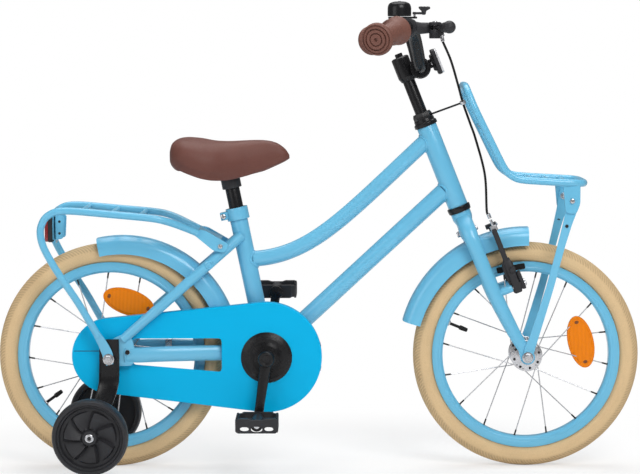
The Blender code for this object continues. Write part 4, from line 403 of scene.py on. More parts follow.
def piece(name, body, node, sharp=35, **surfaces):
    """Put surfaces, a list of them under each coat, into one object that replaces the node.
    It rides the body, if there is one."""
    coats = list(surfaces)
    parts = [part for coat in coats for part in surfaces[coat]]
    kinds = np.repeat(np.arange(len(coats)), [len(surfaces[coat]) for coat in coats])
    starts = np.cumsum([0] + [len(part[0]) for part in parts[:-1]])
    points = np.vstack([part[0] for part in parts])
    quads = np.vstack([part[1] + start for part, start in zip(parts, starts)])
    tris = np.vstack([part[2] + start for part, start in zip(parts, starts)])
    sizes = np.concatenate([np.full(len(quads), 4), np.full(len(tris), 3)])
    slots = np.concatenate([np.repeat(kinds, [len(part[k]) for part in parts]) for k in (1, 2)])
    corners = np.concatenate([quads.ravel(), tris.ravel()])
    mesh = bpy.data.meshes.new(name)
    mesh.vertices.add(len(points))
    mesh.vertices.foreach_set("co", (points * MM).astype(np.float32).ravel())
    mesh.loops.add(len(corners))
    mesh.loops.foreach_set("vertex_index", corners.astype(np.int32))
    mesh.polygons.add(len(sizes))
    mesh.polygons.foreach_set("loop_start", (np.cumsum(sizes) - sizes).astype(np.int32))
    for coat in coats:
        mesh.materials.append(finish(coat))
    mesh.polygons.foreach_set("material_index", slots.astype(np.int32))
    mesh.update(calc_edges=True)
    if mesh.validate():
        raise RuntimeError(f"{name} has faces that Blender can't use")
    mesh.shade_smooth()
    mesh.set_sharp_from_angle(angle=radians(sharp))
    obj = bpy.data.objects.new(name, mesh)
    bpy.context.scene.collection.objects.link(obj)
    if body:
        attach(obj, body)
    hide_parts(node)
    return obj


# Finishes

def sum_node(operation, swapped=False):
    """A method of the fields that adds the Math node for its operator."""
    def method(self, other):
        pair = (other, self) if swapped else (self, other)
        node = self.coat.node("Math", {"operation": operation}, dict(enumerate(pair)))
        return Field(self.coat, node.outputs[0])
    return method


class Field:
    """A socket of a shader in an expression: each operator adds the Math node for it."""
    __add__, __radd__ = sum_node("ADD"), sum_node("ADD", True)
    __sub__, __rsub__ = sum_node("SUBTRACT"), sum_node("SUBTRACT", True)
    __mul__, __rmul__ = sum_node("MULTIPLY"), sum_node("MULTIPLY", True)

    def __init__(self, coat, socket):
        self.coat = coat
        self.socket = socket

    def between(self, low, high):
        """0 below low, 1 above high and smooth between them."""
        node = self.coat.node("MapRange", {"interpolation_type": "SMOOTHSTEP"},
                              {"Value": self, "From Min": low, "From Max": high})
        return Field(self.coat, node.outputs["Result"])


class Coat:
    """The nodes of one material."""

    def __init__(self, name, plain):
        self.material = bpy.data.materials.new(name)
        self.material.use_nodes = True
        self.tree = self.material.node_tree
        self.shader = self.tree.nodes["Principled BSDF"]
        self.place = self.node("TexCoord").outputs["Object"]
        for socket, value in plain.items():
            self.shader.inputs[socket].default_value = value

    def node(self, kind, settings=(), sockets=()):
        """A node of the type, with its settings first and then its sockets' values."""
        node = self.tree.nodes.new("ShaderNode" + kind)
        for setting, value in dict(settings).items():
            setattr(node, setting, value)
        for socket, value in dict(sockets).items():
            self.feed(node.inputs[socket], value)
        return node

    def feed(self, socket, value):
        """Link a socket or a field, or set a plain value."""
        if isinstance(value, Field):
            value = value.socket
        if isinstance(value, bpy.types.NodeSocket):
            self.tree.links.new(value, socket)
        else:
            socket.default_value = value

    def stretched(self, scale):
        """The place on the piece, with each axis scaled."""
        return self.node("Mapping", {}, {"Vector": self.place, "Scale": scale}).outputs[0]

    def noise(self, scale, detail=3.0, place=None):
        """Smooth clouds from 0 to 1; the scale is in clouds to the metre."""
        node = self.node("TexNoise", {},
                         {"Vector": place or self.place, "Scale": scale, "Detail": detail})
        return Field(self, node.outputs["Fac"])

    def cells(self, scale, feature="F1"):
        """Distance from the middles of scattered cells, or from the walls between them."""
        node = self.node("TexVoronoi", {"feature": feature}, {"Vector": self.place, "Scale": scale})
        return Field(self, node.outputs["Distance"])

    def colour(self, share, first, second):
        """The first colour blended into the second by the share, on the base colour."""
        node = self.node("Mix", {"data_type": "RGBA"}, {0: share, 6: (*first, 1.0), 7: (*second, 1.0)})
        self.feed(self.shader.inputs["Base Color"], node.outputs[2])

    def rough(self, value):
        self.feed(self.shader.inputs["Roughness"], value)

    def bump(self, height, distance):
        """Raise the surface by the height, which runs from 0 to 1, times the distance."""
        node = self.node("Bump", {}, {"Height": height, "Distance": distance, "Strength": 1.0})
        self.feed(self.shader.inputs["Normal"], node.outputs[0])


def shade(colour, factor):
    """A colour made lighter or darker."""
    return tuple(min(1.0, channel * factor) for channel in colour)


def enamel(coat, colour):
    """Sprayed gloss enamel: faint clouds of tone and the fine ripple of the spray."""
    clouds = coat.noise(9.0)
    coat.colour(clouds, shade(colour, 0.95), shade(colour, 1.05))
    coat.rough(0.26 + 0.08 * coat.noise(20.0))
    coat.bump(coat.noise(160.0, 2.0), 0.00001)


def moulded(coat, colour):
    """Injection-moulded resin: a fine even grain and a slight mottle."""
    coat.colour(coat.noise(30.0), shade(colour, 0.85), shade(colour, 1.2))
    coat.rough(0.40 + 0.16 * coat.noise(140.0))
    coat.bump(coat.noise(1500.0, 2.0), 0.00008)


def cover_plastic(coat, colour):
    """Smooth glossy plastic with the soft streaks of its flow into the mould."""
    streaks = coat.noise(10.0, 2.0, coat.stretched((0.4, 1.0, 2.5)))
    coat.colour(streaks, shade(colour, 0.96), shade(colour, 1.05))
    coat.rough(0.30 + 0.10 * coat.noise(80.0))
    coat.bump(coat.noise(240.0, 2.0), 0.00004)


def tyre_rubber(coat, colour):
    """Dusty light rubber: fine specks, a matt grain, and painted shade darkening the cuts of the tread.
    """
    specks = coat.noise(900.0, 2.0).between(0.35, 0.75)
    clouds = coat.noise(24.0)
    painted_cut_shade = Field(coat, coat.node("Attribute", {"attribute_name": "tread"}).outputs["Fac"])
    # painted shade: the colour darkens towards 0.46 where the tread is cut deepest
    share = specks * 0.20 + clouds * 0.25 + painted_cut_shade * 0.50
    coat.colour(share, shade(colour, 1.08), shade(colour, 0.46))
    coat.rough(0.68 + 0.20 * clouds)
    coat.bump(coat.noise(700.0, 3.0), 0.00020)


def grip_rubber(coat, colour):
    """Soft rubber with a close pebble grain."""
    pebbles = coat.cells(1300.0)
    coat.colour(coat.noise(45.0), shade(colour, 0.88), shade(colour, 1.18))
    coat.rough(0.50 + 0.16 * coat.noise(120.0))
    coat.bump(pebbles, 0.00012)


def leatherette(coat, colour):
    """Embossed leather cloth: rounded grains with creases between them, darker in colour towards the
    creases as painted shade, and polished where the clouds are light."""
    creases = coat.cells(520.0, "DISTANCE_TO_EDGE").between(0.0, 0.16)
    wrinkles = coat.noise(160.0, 4.0)
    clouds = coat.noise(14.0)
    # painted shade: the colour darkens towards the creases, with clouds of random tone
    coat.colour(creases * 0.5 + clouds * 0.5, shade(colour, 0.80), shade(colour, 1.14))
    coat.rough(0.60 - 0.10 * creases - 0.08 * clouds)
    coat.bump(creases * 0.7 + wrinkles * 0.6, 0.00016)


def plated(coat, colour):
    """Plated or polished steel, drawn in fine lines along one way."""
    lines = coat.noise(300.0, 3.0, coat.stretched((1.0, 14.0, 1.0)))
    coat.colour(coat.noise(50.0), shade(colour, 0.82), shade(colour, 1.12))
    coat.rough(0.16 + 0.22 * lines)
    coat.bump(lines, 0.00002)


def black_enamel(coat, colour):
    """Hard black gloss on steel."""
    coat.colour(coat.noise(25.0), shade(colour, 0.8), shade(colour, 1.3))
    coat.rough(0.20 + 0.14 * coat.noise(90.0))
    coat.bump(coat.noise(500.0, 2.0), 0.00004)


def prisms(coat, colour):
    """A lens with rows of small corner prisms moulded behind its face; its colour is lighter and
    darker across the facets as painted glints and shade.
    """
    rows = []
    for turn in ((1.0, 0.0, 0.55), (-1.0, 0.0, 0.55)):
        wave = coat.node("TexWave", {"wave_profile": "TRI"},
                         {"Vector": coat.stretched(turn), "Scale": 130.0})
        rows.append(Field(coat, wave.outputs["Fac"]))
    facets = rows[0] * 0.5 + rows[1] * 0.5
    # painted glints and shade: the colour follows the facets from dark to light, with some random tone
    coat.colour(facets * 0.7 + coat.noise(30.0) * 0.3, shade(colour, 0.72), shade(colour, 1.30))
    coat.rough(0.12 + 0.12 * facets)
    coat.bump(facets, 0.0003)


def chain_steel(coat, colour):
    """Oiled chain steel, darker where the oil has gathered."""
    oil = coat.noise(160.0)
    coat.colour(oil.between(0.35, 0.65), shade(colour, 0.35), colour)
    coat.rough(0.26 + 0.20 * oil)
    coat.bump(coat.noise(900.0), 0.00005)


LEVELS = ("Specular IOR Level", "Metallic", "Coat Weight")
# name: record's slot, maker, colour or the setting that holds it, and its levels
FINISHES = {"paint": ("pale_blue_paint", enamel, "paint", 0.35, 0.0, 0.3),
            "case": ("bright_blue_plastic", cover_plastic, "case", 0.12),
            "tyre": ("cream_rubber", tyre_rubber, "tyres", 0.3),
            "black_rubber": ("black_rubber", moulded, (0.012, 0.012, 0.012), 0.12),
            "resin": ("black_plastic", moulded, "resin", 0.3),
            "black_steel": ("black_steel", black_enamel, (0.007, 0.007, 0.008), 0.30),
            # near-black: painted shade in holes, slots, splits, cuts and sockets, and the spoke nipples'
            # own dark colour
            "dark_groove": ("black_plastic", moulded, (0.006, 0.006, 0.007)),
            # dark blue: painted shade in the chain case's split line, and the case's clips
            "blue_groove": ("bright_blue_plastic", cover_plastic, (0.0, 0.055, 0.13)),
            "steel": ("bright_steel", plated, (0.56, 0.56, 0.58), 0.5, 1.0),
            "spoke": ("bright_steel", plated, (0.50, 0.50, 0.52), 0.5, 0.5),
            "chain": ("bright_steel", chain_steel, (0.36, 0.35, 0.33), 0.5, 0.9),
            "saddle": ("brown_leatherette", leatherette, "saddle", 0.35),
            "grip": ("brown_rubber", grip_rubber, "grips", 0.4),
            "amber": ("amber_plastic", prisms, "lenses", 0.15),
            "amber_clip": ("amber_plastic", moulded, (0.17, 0.045, 0.004)),
            "red": ("red_plastic", prisms, (0.25, 0.010, 0.008), 0.5, 0.0, 0.6),
            "clear": ("clear_plastic", prisms, (0.60, 0.60, 0.62), 0.5, 0.0, 0.8)}


def finish(name):
    """The named material, made once."""
    label = name + "_finish"
    if label not in bpy.data.materials:
        _, maker, colour, *levels = FINISHES[name]
        coat = Coat(label, dict(zip(LEVELS, levels)))
        colour = tuple(getattr(bike().colours, colour)) if isinstance(colour, str) else colour
        maker(coat, colour)
        coat.material.diffuse_color = (*colour, 1.0)
    return bpy.data.materials[label]


# Wheels

# end, axle, flange radius, flange offset, barrel radius, half length, first spoke, valve,
# reflector
WHEELS = (("front", FRONT_AXLE, 28, 28, 12, 44.5, radians(-7.3), radians(157.9), radians(12.9)),
          ("rear", REAR_AXLE, 31, 30, 22.5, 34, radians(2.0), radians(216.1), radians(71.6)))


def tread(turn, a):
    """Depth of the tread from 0 to 1: cut where cos(ribs * turn + 14 |a|) nears one, on each
    shoulder, with a plain band along the middle."""
    low = np.abs(a)
    shoulder = ramp(low, 0.14, 0.22) * ramp(low, 1.25, 1.13)
    return (0.5 + 0.5 * np.cos(bike().sizes.tread_ribs * turn + 14.0 * low)) ** 2 * shoulder


def tyre(axle):
    """Round the wheel, a section of crown * (cos a, sin a) that opens towards the rim. The
    crown is cut by the tread and raised in two thin rings on each side."""
    sizes = bike().sizes
    turn = turns(sizes.tread_ribs * 4)[:, None]
    a = np.linspace(-2.2, 2.2, 65)
    low = np.abs(a)
    rings = hill(low, 1.74, 0.05) + hill(low, 1.95, 0.05)
    crown = 19.1 + 0.3 * rings - sizes.tread_depth / MM * tread(turn, a)
    b = np.linspace(2.0, -2.0, 17)
    inner = np.broadcast_to([167.2, 156, 156, 167.2], (len(turn), 4))
    hollow = np.broadcast_to(TYRE_MIDDLE + 16.1 * np.cos(b), (len(turn), len(b)))
    radius = np.hstack([TYRE_MIDDLE + crown * np.cos(a), inner, hollow, inner])
    bead = np.broadcast_to([10.6, 10.6, 8.1, 8.1], (len(turn), 4))
    side = np.hstack([21.5 / 19.1 * crown * np.sin(a), bead,
                      np.broadcast_to(18.5 * np.sin(b), (len(turn), len(b))), -bead[:, ::-1]])
    return shell(around(axle, turn, radius, side), loop=True)


def frames(way, hint):
    """For each way, rows of two directions square to it and its own direction."""
    along = unit(way)
    first = unit(hint - (along @ hint)[:, None] * along)
    return np.stack([first, np.cross(along, first), along], 1)


def lacing(axle, flange, offset, first):
    """Flange and rim ends of the spokes: sides alternate, and pairs lean either way."""
    i = np.arange(SPOKES)
    angle = first + 2 * pi * i / SPOKES
    side = np.where(i % 2 == 0, RIGHT, LEFT)
    trailing = i // 2 % 2
    hole = around(axle, angle + SPOKE_LEAN * (1 - 2 * trailing), flange - 3.5,
                  side * (offset + 0.5 - trailing))
    return hole, around(axle, angle, RIM_INNER - 1.6, side * 2.5)


def rosette(axle, radius, side, angles, size, half):
    """Short upright discs on a circle round the axle."""
    part = rod(-Z * half, Z * half, size, 12, 0.3)
    places = around(axle, angles, radius, side)
    return repeat(part, places, (Z, X, Y))


class BICYCLE_OT_wheels(Operator):
    """Tyres, inner tubes with valves, rims, hubs, spokes with nipples and spoke reflectors."""
    bl_idname = "bicycle.wheels"
    bl_label = "Wheels"

    def execute(self, context):
        for end, axle, flange, offset, barrel, half, first, valve, mirror in WHEELS:
            body = end + "_wheel"
            rubber = piece("tyre_" + end, body, end + "_tyre", sharp=50, tyre=[tyre(axle)])
            # the tread's depth at each point, kept for the tyre's colour, which darkens in the cuts as
            # painted shade
            x, y, z = (coordinates(rubber) - axle).T
            depth = tread(np.arctan2(z, x), np.arctan2(y, np.hypot(x, z) - TYRE_MIDDLE))
            mark = rubber.data.attributes.new("tread", "FLOAT", "POINT")
            mark.data.foreach_set("value", depth.astype(np.float32))

            edge = [(RIM_OUTER, RIM_HALF), (156.2, RIM_HALF), (155.6, 12.1), (155, RIM_HALF),
                    (151.5, RIM_HALF), (RIM_INNER, 8.5)]
            outline = [(153.5, -10.9), (RIM_OUTER, -10.9)]
            outline += [(r, -y) for r, y in edge] + edge[::-1]
            outline += [(RIM_OUTER, 10.9), (153.5, 10.9)]
            rim = lathe(eased(outline, 0.8, 2, True), axle, Y, 144, ring=True)
            piece("rim_" + end, body, end + "_rim", paint=[rim])

            air = (183.7, 0) + 10.4 * ways(turns(20), (1, 0), (0, 1))
            foot = around(axle, valve, 177)
            way = unit(axle - foot)
            stem = lathe([(0, 0), (3, 0), (3, 30), (2.6, 30.5), (2.6, 50), (4, 50.5), (4.2, 54),
                          (3.6, 64), (3, 65.5), (0, 65.5)], foot, way, 16)
            nut = hex_nut(around(axle, valve, RIM_INNER), way, 8.5, 2.8)
            piece("inner_tube_" + end, body, end + "_inner_tube",
                  black_rubber=[lathe(air, axle, Y, 96, ring=True), stem], steel=nut)

            neck = min(offset + 4.5, half - 0.8)
            side = [(0, half), (barrel * 0.72, half), (barrel * 0.72, neck),
                    (flange * 0.66, offset + 2.2), (flange, offset + 1.4), (flange, offset - 1.4),
                    (flange * 0.66, offset - 2.2), (barrel * 1.06, offset - 7.5), (barrel, offset - 12)]
            drum = lathe(eased(side + [(r, -y) for r, y in reversed(side)], 1, 2), axle, Y, 64)
            holes, ends = lacing(axle, flange, offset, first)
            axes = frames(ends - holes, Y)
            whole = axes.copy()
            whole[:, 2] = ends - holes
            wires = repeat(lathe([(1, 0), (1, 1)], np.zeros(3), Z, 8), holes, whole)
            heads = repeat(rod(-Z * 2.6, Z * 2.6, 2, 10, 0.8), holes, (Z, X, Y))
            nipple = lathe([(0, 0), (1.2, 0.4), (1.5, 3), (1.5, 10.5), (2.4, 11.5), (0, 12.5)],
                           np.zeros(3), Z, 8)
            nipples = repeat(nipple, ends - axes[:, 2] * 10, axes)
            # near-black discs as painted shade in the flange's holes; the nipples are dark in their own
            # colour
            painted_hole_shade = [rosette(axle, flange * 0.80, side * offset, first + np.arange(8) * pi / 4 + pi / 8,
                             2.6, 2.1) for side in (RIGHT, LEFT)]
            piece("hub_" + end, body, end + "_hub_and_spokes", steel=[drum, heads], spoke=[wires],
                  dark_groove=[nipples] + painted_hole_shade)

            lean = offset * (RIM_INNER - 100) / RIM_INNER
            middle = around(axle, mirror, 100, -lean - 2)
            out = around(np.zeros(3), mirror, 1.0)
            across = np.cross(out, Y)
            oval = circle(48) * (47, 23)
            lens = [plate(oval, middle, across, out, 5.2, 1.2),
                    plate(oval * 0.86, middle, across, out, 7, 1.4)]
            clips = [plate(circle(20) * (3, 4), middle + across * a, across, out, 7.8, 0.5)
                     for a in (-36, 36)]
            bar = block(middle + Y * 3, (60, 3, 2.2), across, out, 0.6)
            piece("spoke_reflector_" + end, body, end + "_spoke_reflector", amber=lens,
                  amber_clip=clips + [bar])
        return {"FINISHED"}


def threaded(start, end, radius):
    """A screw's end: a bar whose radius swings by 0.25 from step to step."""
    length = np.linalg.norm(end - start)
    steps = np.arange(0, length, 0.5)
    profile = np.stack([radius - 0.25 * (np.arange(len(steps)) % 2), steps], -1)
    return lathe(profile, start, end - start, 20)


# name, body, axle, where each cone starts, where both end, foot of the nuts
AXLES = (("front_axle", "steering", FRONT_AXLE, (45, 45), 46.5, 55.4),
         ("rear_axle", "frame", REAR_AXLE, (50.6, 51.5), 55, 67.2))


class BICYCLE_OT_axles(Operator):
    """Both axles with their cones, threads and nuts."""
    bl_idname = "bicycle.axles"
    bl_label = "Axles"

    def execute(self, context):
        for name, body, axle, starts, end, foot in AXLES:
            parts = [shaft(axle, Y, -foot, foot, 4.9)]
            for out, start in zip((-Y, Y), starts):
                parts.append(shaft(axle, out, start, end, 8.5))
                parts.append(threaded(axle + out * foot, axle + out * (foot + 11), 5))
                parts += hex_nut(axle + out * foot, out, 15, 8)
            piece("bar_of_" + name, body, name, steel=parts)
        return {"FINISHED"}


# Frame

JOINT = BRACKET + SEAT_UP * 173.5
BRIDGE = REAR_AXLE + np.array([176.5, 0.0, 164])
GUARD_CENTRE = REAR_AXLE + np.array([20, 0.0, 6])
TAIL = [(-17, -13), (40, -12.5), (49, 3), (41, 35), (30, 46), (8, 36), (-17, 12)]
SEAT_STAY = [(24.5, 58, 34), (55, 58, 60.5), (98, 57.2, 97.5), (150, 44, 142.5), (195, 28.5, 181.5),
             (232, 15, 213.5)]
CHAIN_STAY = [(-338, 57.8, 206, 12.2, 4.5), (-316, 57.8, 206.5, 13.6, 6.5),
              (-283, 53.5, 207.5, 13.6, 8.2), (-186, 36.2, 207.5, 13.6, 7.8),
              (-150, 27.5, 206, 13.6, 7.4), (-118, 24, 202, 12.9, 7.4), (-108.5, 23.5, 200.3, 12.2, 7.4)]


def sided(rows, side, axle=None):
    """Points (x, out, z) put on one side, from the axle where one is given."""
    rows = np.array(rows, float)[:, :3] * (1, side, 1)
    return rows if axle is None else rows + axle


class BICYCLE_OT_frame(Operator):
    """Frame: head, top, down and seat tubes with their weld beads, and the four stays."""
    bl_idname = "bicycle.frame"
    bl_label = "Frame"

    def execute(self, context):
        wall = hoop(13.9, HEAD_RADIUS, 0, HEAD_LENGTH, HEAD_FOOT, HEAD_UP, 64)
        piece("head_tube_wall", "frame", "head_tube", paint=[wall])

        way = np.array([-0.732, 0.0, -0.681])
        high = at(132.5)
        line = bezier(high, high + way * 215, JOINT + (112, 0, 2), JOINT, 60)[1:-2]
        beads = [weld(high, way, TOP_RADIUS, HEAD_FOOT, HEAD_UP, HEAD_RADIUS),
                 weld(JOINT, X, TOP_RADIUS, BRACKET, SEAT_UP, SEAT_RADIUS)]
        piece("top_tube_wall", "frame", "top_tube",
              paint=[sweep(line, circle() * TOP_RADIUS, Y)] + beads)

        low = at(39)
        way = unit(low - BRACKET)
        beads = [weld(low, -way, DOWN_RADIUS, HEAD_FOOT, HEAD_UP, HEAD_RADIUS),
                 weld(BRACKET, way, DOWN_RADIUS, BRACKET, Y, SHELL_RADIUS)]
        line = np.linspace(BRACKET + way * 19, low - way * 14, 8)
        piece("down_tube_wall", "frame", "down_tube",
              paint=[sweep(line, circle() * DOWN_RADIUS, Y)] + beads)

        wall = eased([(0.0, 19), (SEAT_RADIUS, 19), (SEAT_RADIUS, SEAT_LENGTH), (13, SEAT_LENGTH),
                      (13, 60), (0.0, 60)], 0.5, 2)
        bush = hoop(17.8, SHELL_RADIUS, -34, 34, BRACKET, Y, 64)
        bead = weld(BRACKET, SEAT_UP, SEAT_RADIUS, BRACKET, Y, SHELL_RADIUS)
        # a near-black block in the seat tube's slot as painted shade
        slot = BRACKET + SEAT_UP * (SEAT_LENGTH - 14) + SEAT_BACK * 15.1
        piece("seat_tube_wall", "frame", "seat_tube",
              paint=[lathe(wall, BRACKET, SEAT_UP, 64), bush, bead],
              dark_groove=[block(slot, (1.2, 3, 26), SEAT_BACK, SEAT_UP, 0.3)])
        cup = hoop(8, 17.5, -35.5, 35.5, BRACKET, Y)
        piece("bottom_bracket_cups", "frame", "bottom_bracket_bearing", steel=[cup])

        for side, name in SIDES:
            out = Y * side
            rows = eased(CHAIN_STAY, 20, 6)
            stay = sweep(rows[:, :3] * (1, side, 1), circle(), Z, rows[:, 3:])
            flat = eased(TAIL, 5, 4, True)
            end = plate(flat, REAR_AXLE + out * REAR_END, X, Z, 5, 0.6)
            collar = np.array([-339.5, side * REAR_END, 206.2])
            bead = sweep(collar + circle(24) @ np.array([[0, 5, 0], [0, 0, 12.6]]),
                         circle(8) * 1.6, X, loop=True)
            piece("chain_stay_tube_" + name, "frame", "chain_stay_" + name, paint=[stay, end, bead])

        parts = []
        for side, _ in SIDES:
            stay = sided(SEAT_STAY, side, REAR_AXLE)
            parts.append(tube(stay, STAY_RADIUS, Y, size=(0.86, 0.94, 1, 1, 1, 1)))
            parts.append(weld(BRIDGE, Y * side, 6, stay[3], stay[4] - stay[3], STAY_RADIUS))
        away = unit(BRIDGE - GUARD_CENTRE)
        parts.append(shaft(BRIDGE, Y, -36, 36, 6))
        parts.append(rod(GUARD_CENTRE + away * 207.2, BRIDGE + away * 11, 4))
        ends = [shaft(BRIDGE, away, 9.5, 15, 2.6)]
        ends += hex_nut(BRIDGE + away * 10.8, away, 8.5, 3.8)
        piece("seat_stay_pair", "frame", "seat_stays", paint=parts, steel=ends)

        top = SEAT_LENGTH + 1
        ring = hoop(15.9, 19.7, top - 22, top, BRACKET, SEAT_UP)
        lug = BRACKET + SEAT_UP * (top - 11) + SEAT_BACK * 23.4
        ears = [block(lug + out * 5.2, (14, 7.8, 14), SEAT_BACK, SEAT_UP) for out in (-Y, Y)]
        place = lug + SEAT_BACK * 2
        bolt = [shaft(place, Y, -9, 9, 2.8), screw_head(place - Y * 9, -Y, 5, 5.2)]
        bolt += hex_nut(place + Y * 9, Y, 8.8, 4.5)
        piece("seat_collar", "frame", "seat_clamp", paint=[ring] + ears, steel=bolt)
        return {"FINISHED"}


# Steering

BAR = np.array([(0.0, 0.0, 0.0), (0.0, 22, 0.0), (-2, 40, 6), (-8, 66, 36), (-14, 88, 58),
                (-21, 108, 69), (-30, 130, 70.5), (-41.3, 158, 65.5), (-81.8, 250, 48.7)])
CLAMP = at(252, 26.7)
LEG = [(-22.5, 0, 7, 14.8, 10), (-36, 0, 30, 14.2, 10.8), (-50, 0, 40, 13.8, 10.5),
       (-66, 0, 44, 12.8, 10.5), (-173.7, 2, 44, 12.8, 10.5), (-248.9, 9.3, 46.5, 11, 6),
       (-272, 14, 49.3, 10, 2.4)]
OVER_EYE, EYE, UNDER_EYE = steer([(203, 75.5, -61), (169.5, 72.6, -46), (130, 71.5, -39)])


def bar_point(side, out):
    """Where the bar's middle line is this far from the middle plane, and its direction."""
    near, far = (CLAMP + np.array([np.interp(y, BAR[:, 1], BAR[:, 0]), side * y,
                                   np.interp(y, BAR[:, 1], BAR[:, 2])]) for y in (out - 2, out + 2))
    return (near + far) / 2, unit(far - near)


class BICYCLE_OT_fork(Operator):
    """Headset, and the fork with its crown, blades, brake bosses, locknut and cable guide."""
    bl_idname = "bicycle.fork"
    bl_label = "Fork and Headset"

    def execute(self, context):
        lower = [(13.7, -10.5), (19.9, -10.5), (20.7, -4.5), (20.7, -0.3), (13.7, -0.3)]
        upper = [(13.7, 152.8), (20.7, 152.8), (20.7, 159), (18.2, 160.8), (18.2, 166.3), (13.7, 166.3)]
        for name, profile in (("lower", lower), ("upper", upper)):
            cup = lathe(eased(profile, 0.8, 2, True), HEAD_FOOT, HEAD_UP, 48, True)
            piece(name + "_headset_race", "frame", name + "_headset_cup", black_steel=[cup])

        crown = eased([(0, -40), (12, -40), (17.8, -22), (17.8, -10.8), (12.7, -10.8), (12.7, 174),
                       (0, 174)], 1, 2)
        paint = [lathe(crown, HEAD_FOOT, HEAD_UP, 48)]
        outline = [(13 * cos(a), 13 * sin(a)) for a in np.linspace(pi, 2 * pi, 19)]
        outline += [(9.5, 26), (-9.5, 26)]
        steel = []
        for side, _ in SIDES:
            rows = eased(LEG, 22, 6)
            paint.append(sweep(steer(rows[:, :3] * (1, 1, side)), circle(), HEAD_AHEAD, rows[:, 3:]))
            paint.append(plate(outline, FRONT_AXLE + Y * side * FORK_END, HEAD_AHEAD, HEAD_UP, 5, 0.6))
            foot, tip = steer([(BRAKE_UP, 4, side * 42.5), (BRAKE_UP, 35, side * 42.5)])
            paint.append(rod(foot, tip, 7, 32, 1))
            steel.append(shaft(tip, HEAD_AHEAD, 0, 17.8, 4))
        bolt = steer([(-47.5, -20.5, 0), (-47.5, 20, 0)])
        paint.append(block(at(-48), (30, 16, 20), HEAD_AHEAD, HEAD_UP, 2))
        paint.append(rod(at(-30), at(-63), 5))
        steel += hex_nut(bolt[0] + HEAD_AHEAD * 5, -HEAD_AHEAD, 9, 5)
        steel.append(screw_head(bolt[1] - HEAD_AHEAD * 5, HEAD_AHEAD, 4.5, 3.5))
        nut = [(12.8, 166.6), (17.4, 166.6), (17.4, 172.6), (15.3, 177.6), (12.8, 177.6)]
        black = [lathe(nut, HEAD_FOOT, HEAD_UP, 8, True)]
        foot = at(169.6, 10, -7)
        steel.append(hoop(3.2, 5.2, -3, 3, EYE, UNDER_EYE - OVER_EYE, 24, 0.5))
        black.append(rod(foot, EYE + unit(foot - EYE) * 4, 1.7, 12))
        piece("fork_blades", "steering", "fork", paint=paint, steel=steel, black_steel=black)
        return {"FINISHED"}


class BICYCLE_OT_cockpit(Operator):
    """Stem, handlebar and the two grips."""
    bl_idname = "bicycle.cockpit"
    bl_label = "Stem, Bar and Grips"

    def execute(self, context):
        head = eased([(0, 238), (12.5, 238), (15.8, 246), (15.8, 281), (12.5, STEM_TOP), (0, STEM_TOP)],
                     1.2, 3)
        neck = np.array([at(252, 4), CLAMP - HEAD_AHEAD * 4])
        parts = [rod(*steer([(60, 0, 0), (253, 0, 0)]), 10.8, 40), lathe(head, HEAD_FOOT, HEAD_UP, 48),
                 sweep(np.linspace(*neck, 5), circle(power=0.85), HEAD_UP,
                       np.linspace((14.5, 12), (14, 15), 5)), shaft(CLAMP, Y, -21, 21, 17.2, 48, 1.5)]
        hexagon = lathe([(6.8, 282.5), (6.8, 288.2), (5.8, 289.5)], HEAD_FOOT, HEAD_UP, 6)
        # a near-black block in the clamp's slit as painted shade
        split = block(CLAMP - HEAD_UP * 16.8, (1.4, 42.4, 2), HEAD_AHEAD, HEAD_UP, 0.4)
        rings = [hoop(11.2, 16.4, h - 0.6, h + 0.6, CLAMP, Y, 48, 0.3, 1) for h in (-21.2, 21.2)]
        piece("stem_column", "steering", "stem", black_steel=parts + [hexagon] + rings,
              dark_groove=[split])

        line = CLAMP + np.vstack([BAR[::-1] * (1, -1, 1), BAR[1:]])
        piece("handlebar_tube", "steering", "handlebar", black_steel=[tube(line, BAR_RADIUS, X, 16)])

        body = np.linspace(30, 80, 65)
        ribs = np.interp(body, [30, 80], [16.5, 17.5])
        ribs += 0.4 * np.cos((body - 30) * 2 * pi / 6.25)
        face = [(3, 3), (3, 0.1), (9.4, 0.0), (9.9, 2.6), (11, 2.6), (11.6, 0.0), (16.2, 0.0), (16.8, 3),
                (18.2, 3), (18.9, 0.4), (21.8, 1.2), (22.4, 3.6), (23.7, 3.6), (24.4, 2), (26.5, 4),
                (27.5, 6.2), (27.5, 9.5), (26.2, 11.5), (21.5, 15), (18.8, 19.5), (17.2, 25)]
        neck = [(19.2, 84.5), (22.2, 91), (24.5, 94.5), (24.8, 97), (23.6, 99.2), (21, 100)]
        profile = face + list(zip(ribs, body)) + neck
        for side, name in SIDES:
            along = unit((BAR[-1] - BAR[-2]) * (1, side, 1))
            start = CLAMP + BAR[-1] * (1, side, 1) + along * 3.3
            piece("grip_sleeve_" + name, "steering", "grip_" + name,
                  grip=[lathe(profile, start, -along, 56)])
        return {"FINISHED"}


HINGE = np.array([200.5, -120, 777.4])
PIN = HINGE + Y * 6
BARREL_WAY = unit(np.array([0.22, 0.03, -0.97]))
BARREL_FOOT = PIN + (10, 10, -3) + BARREL_WAY * 12


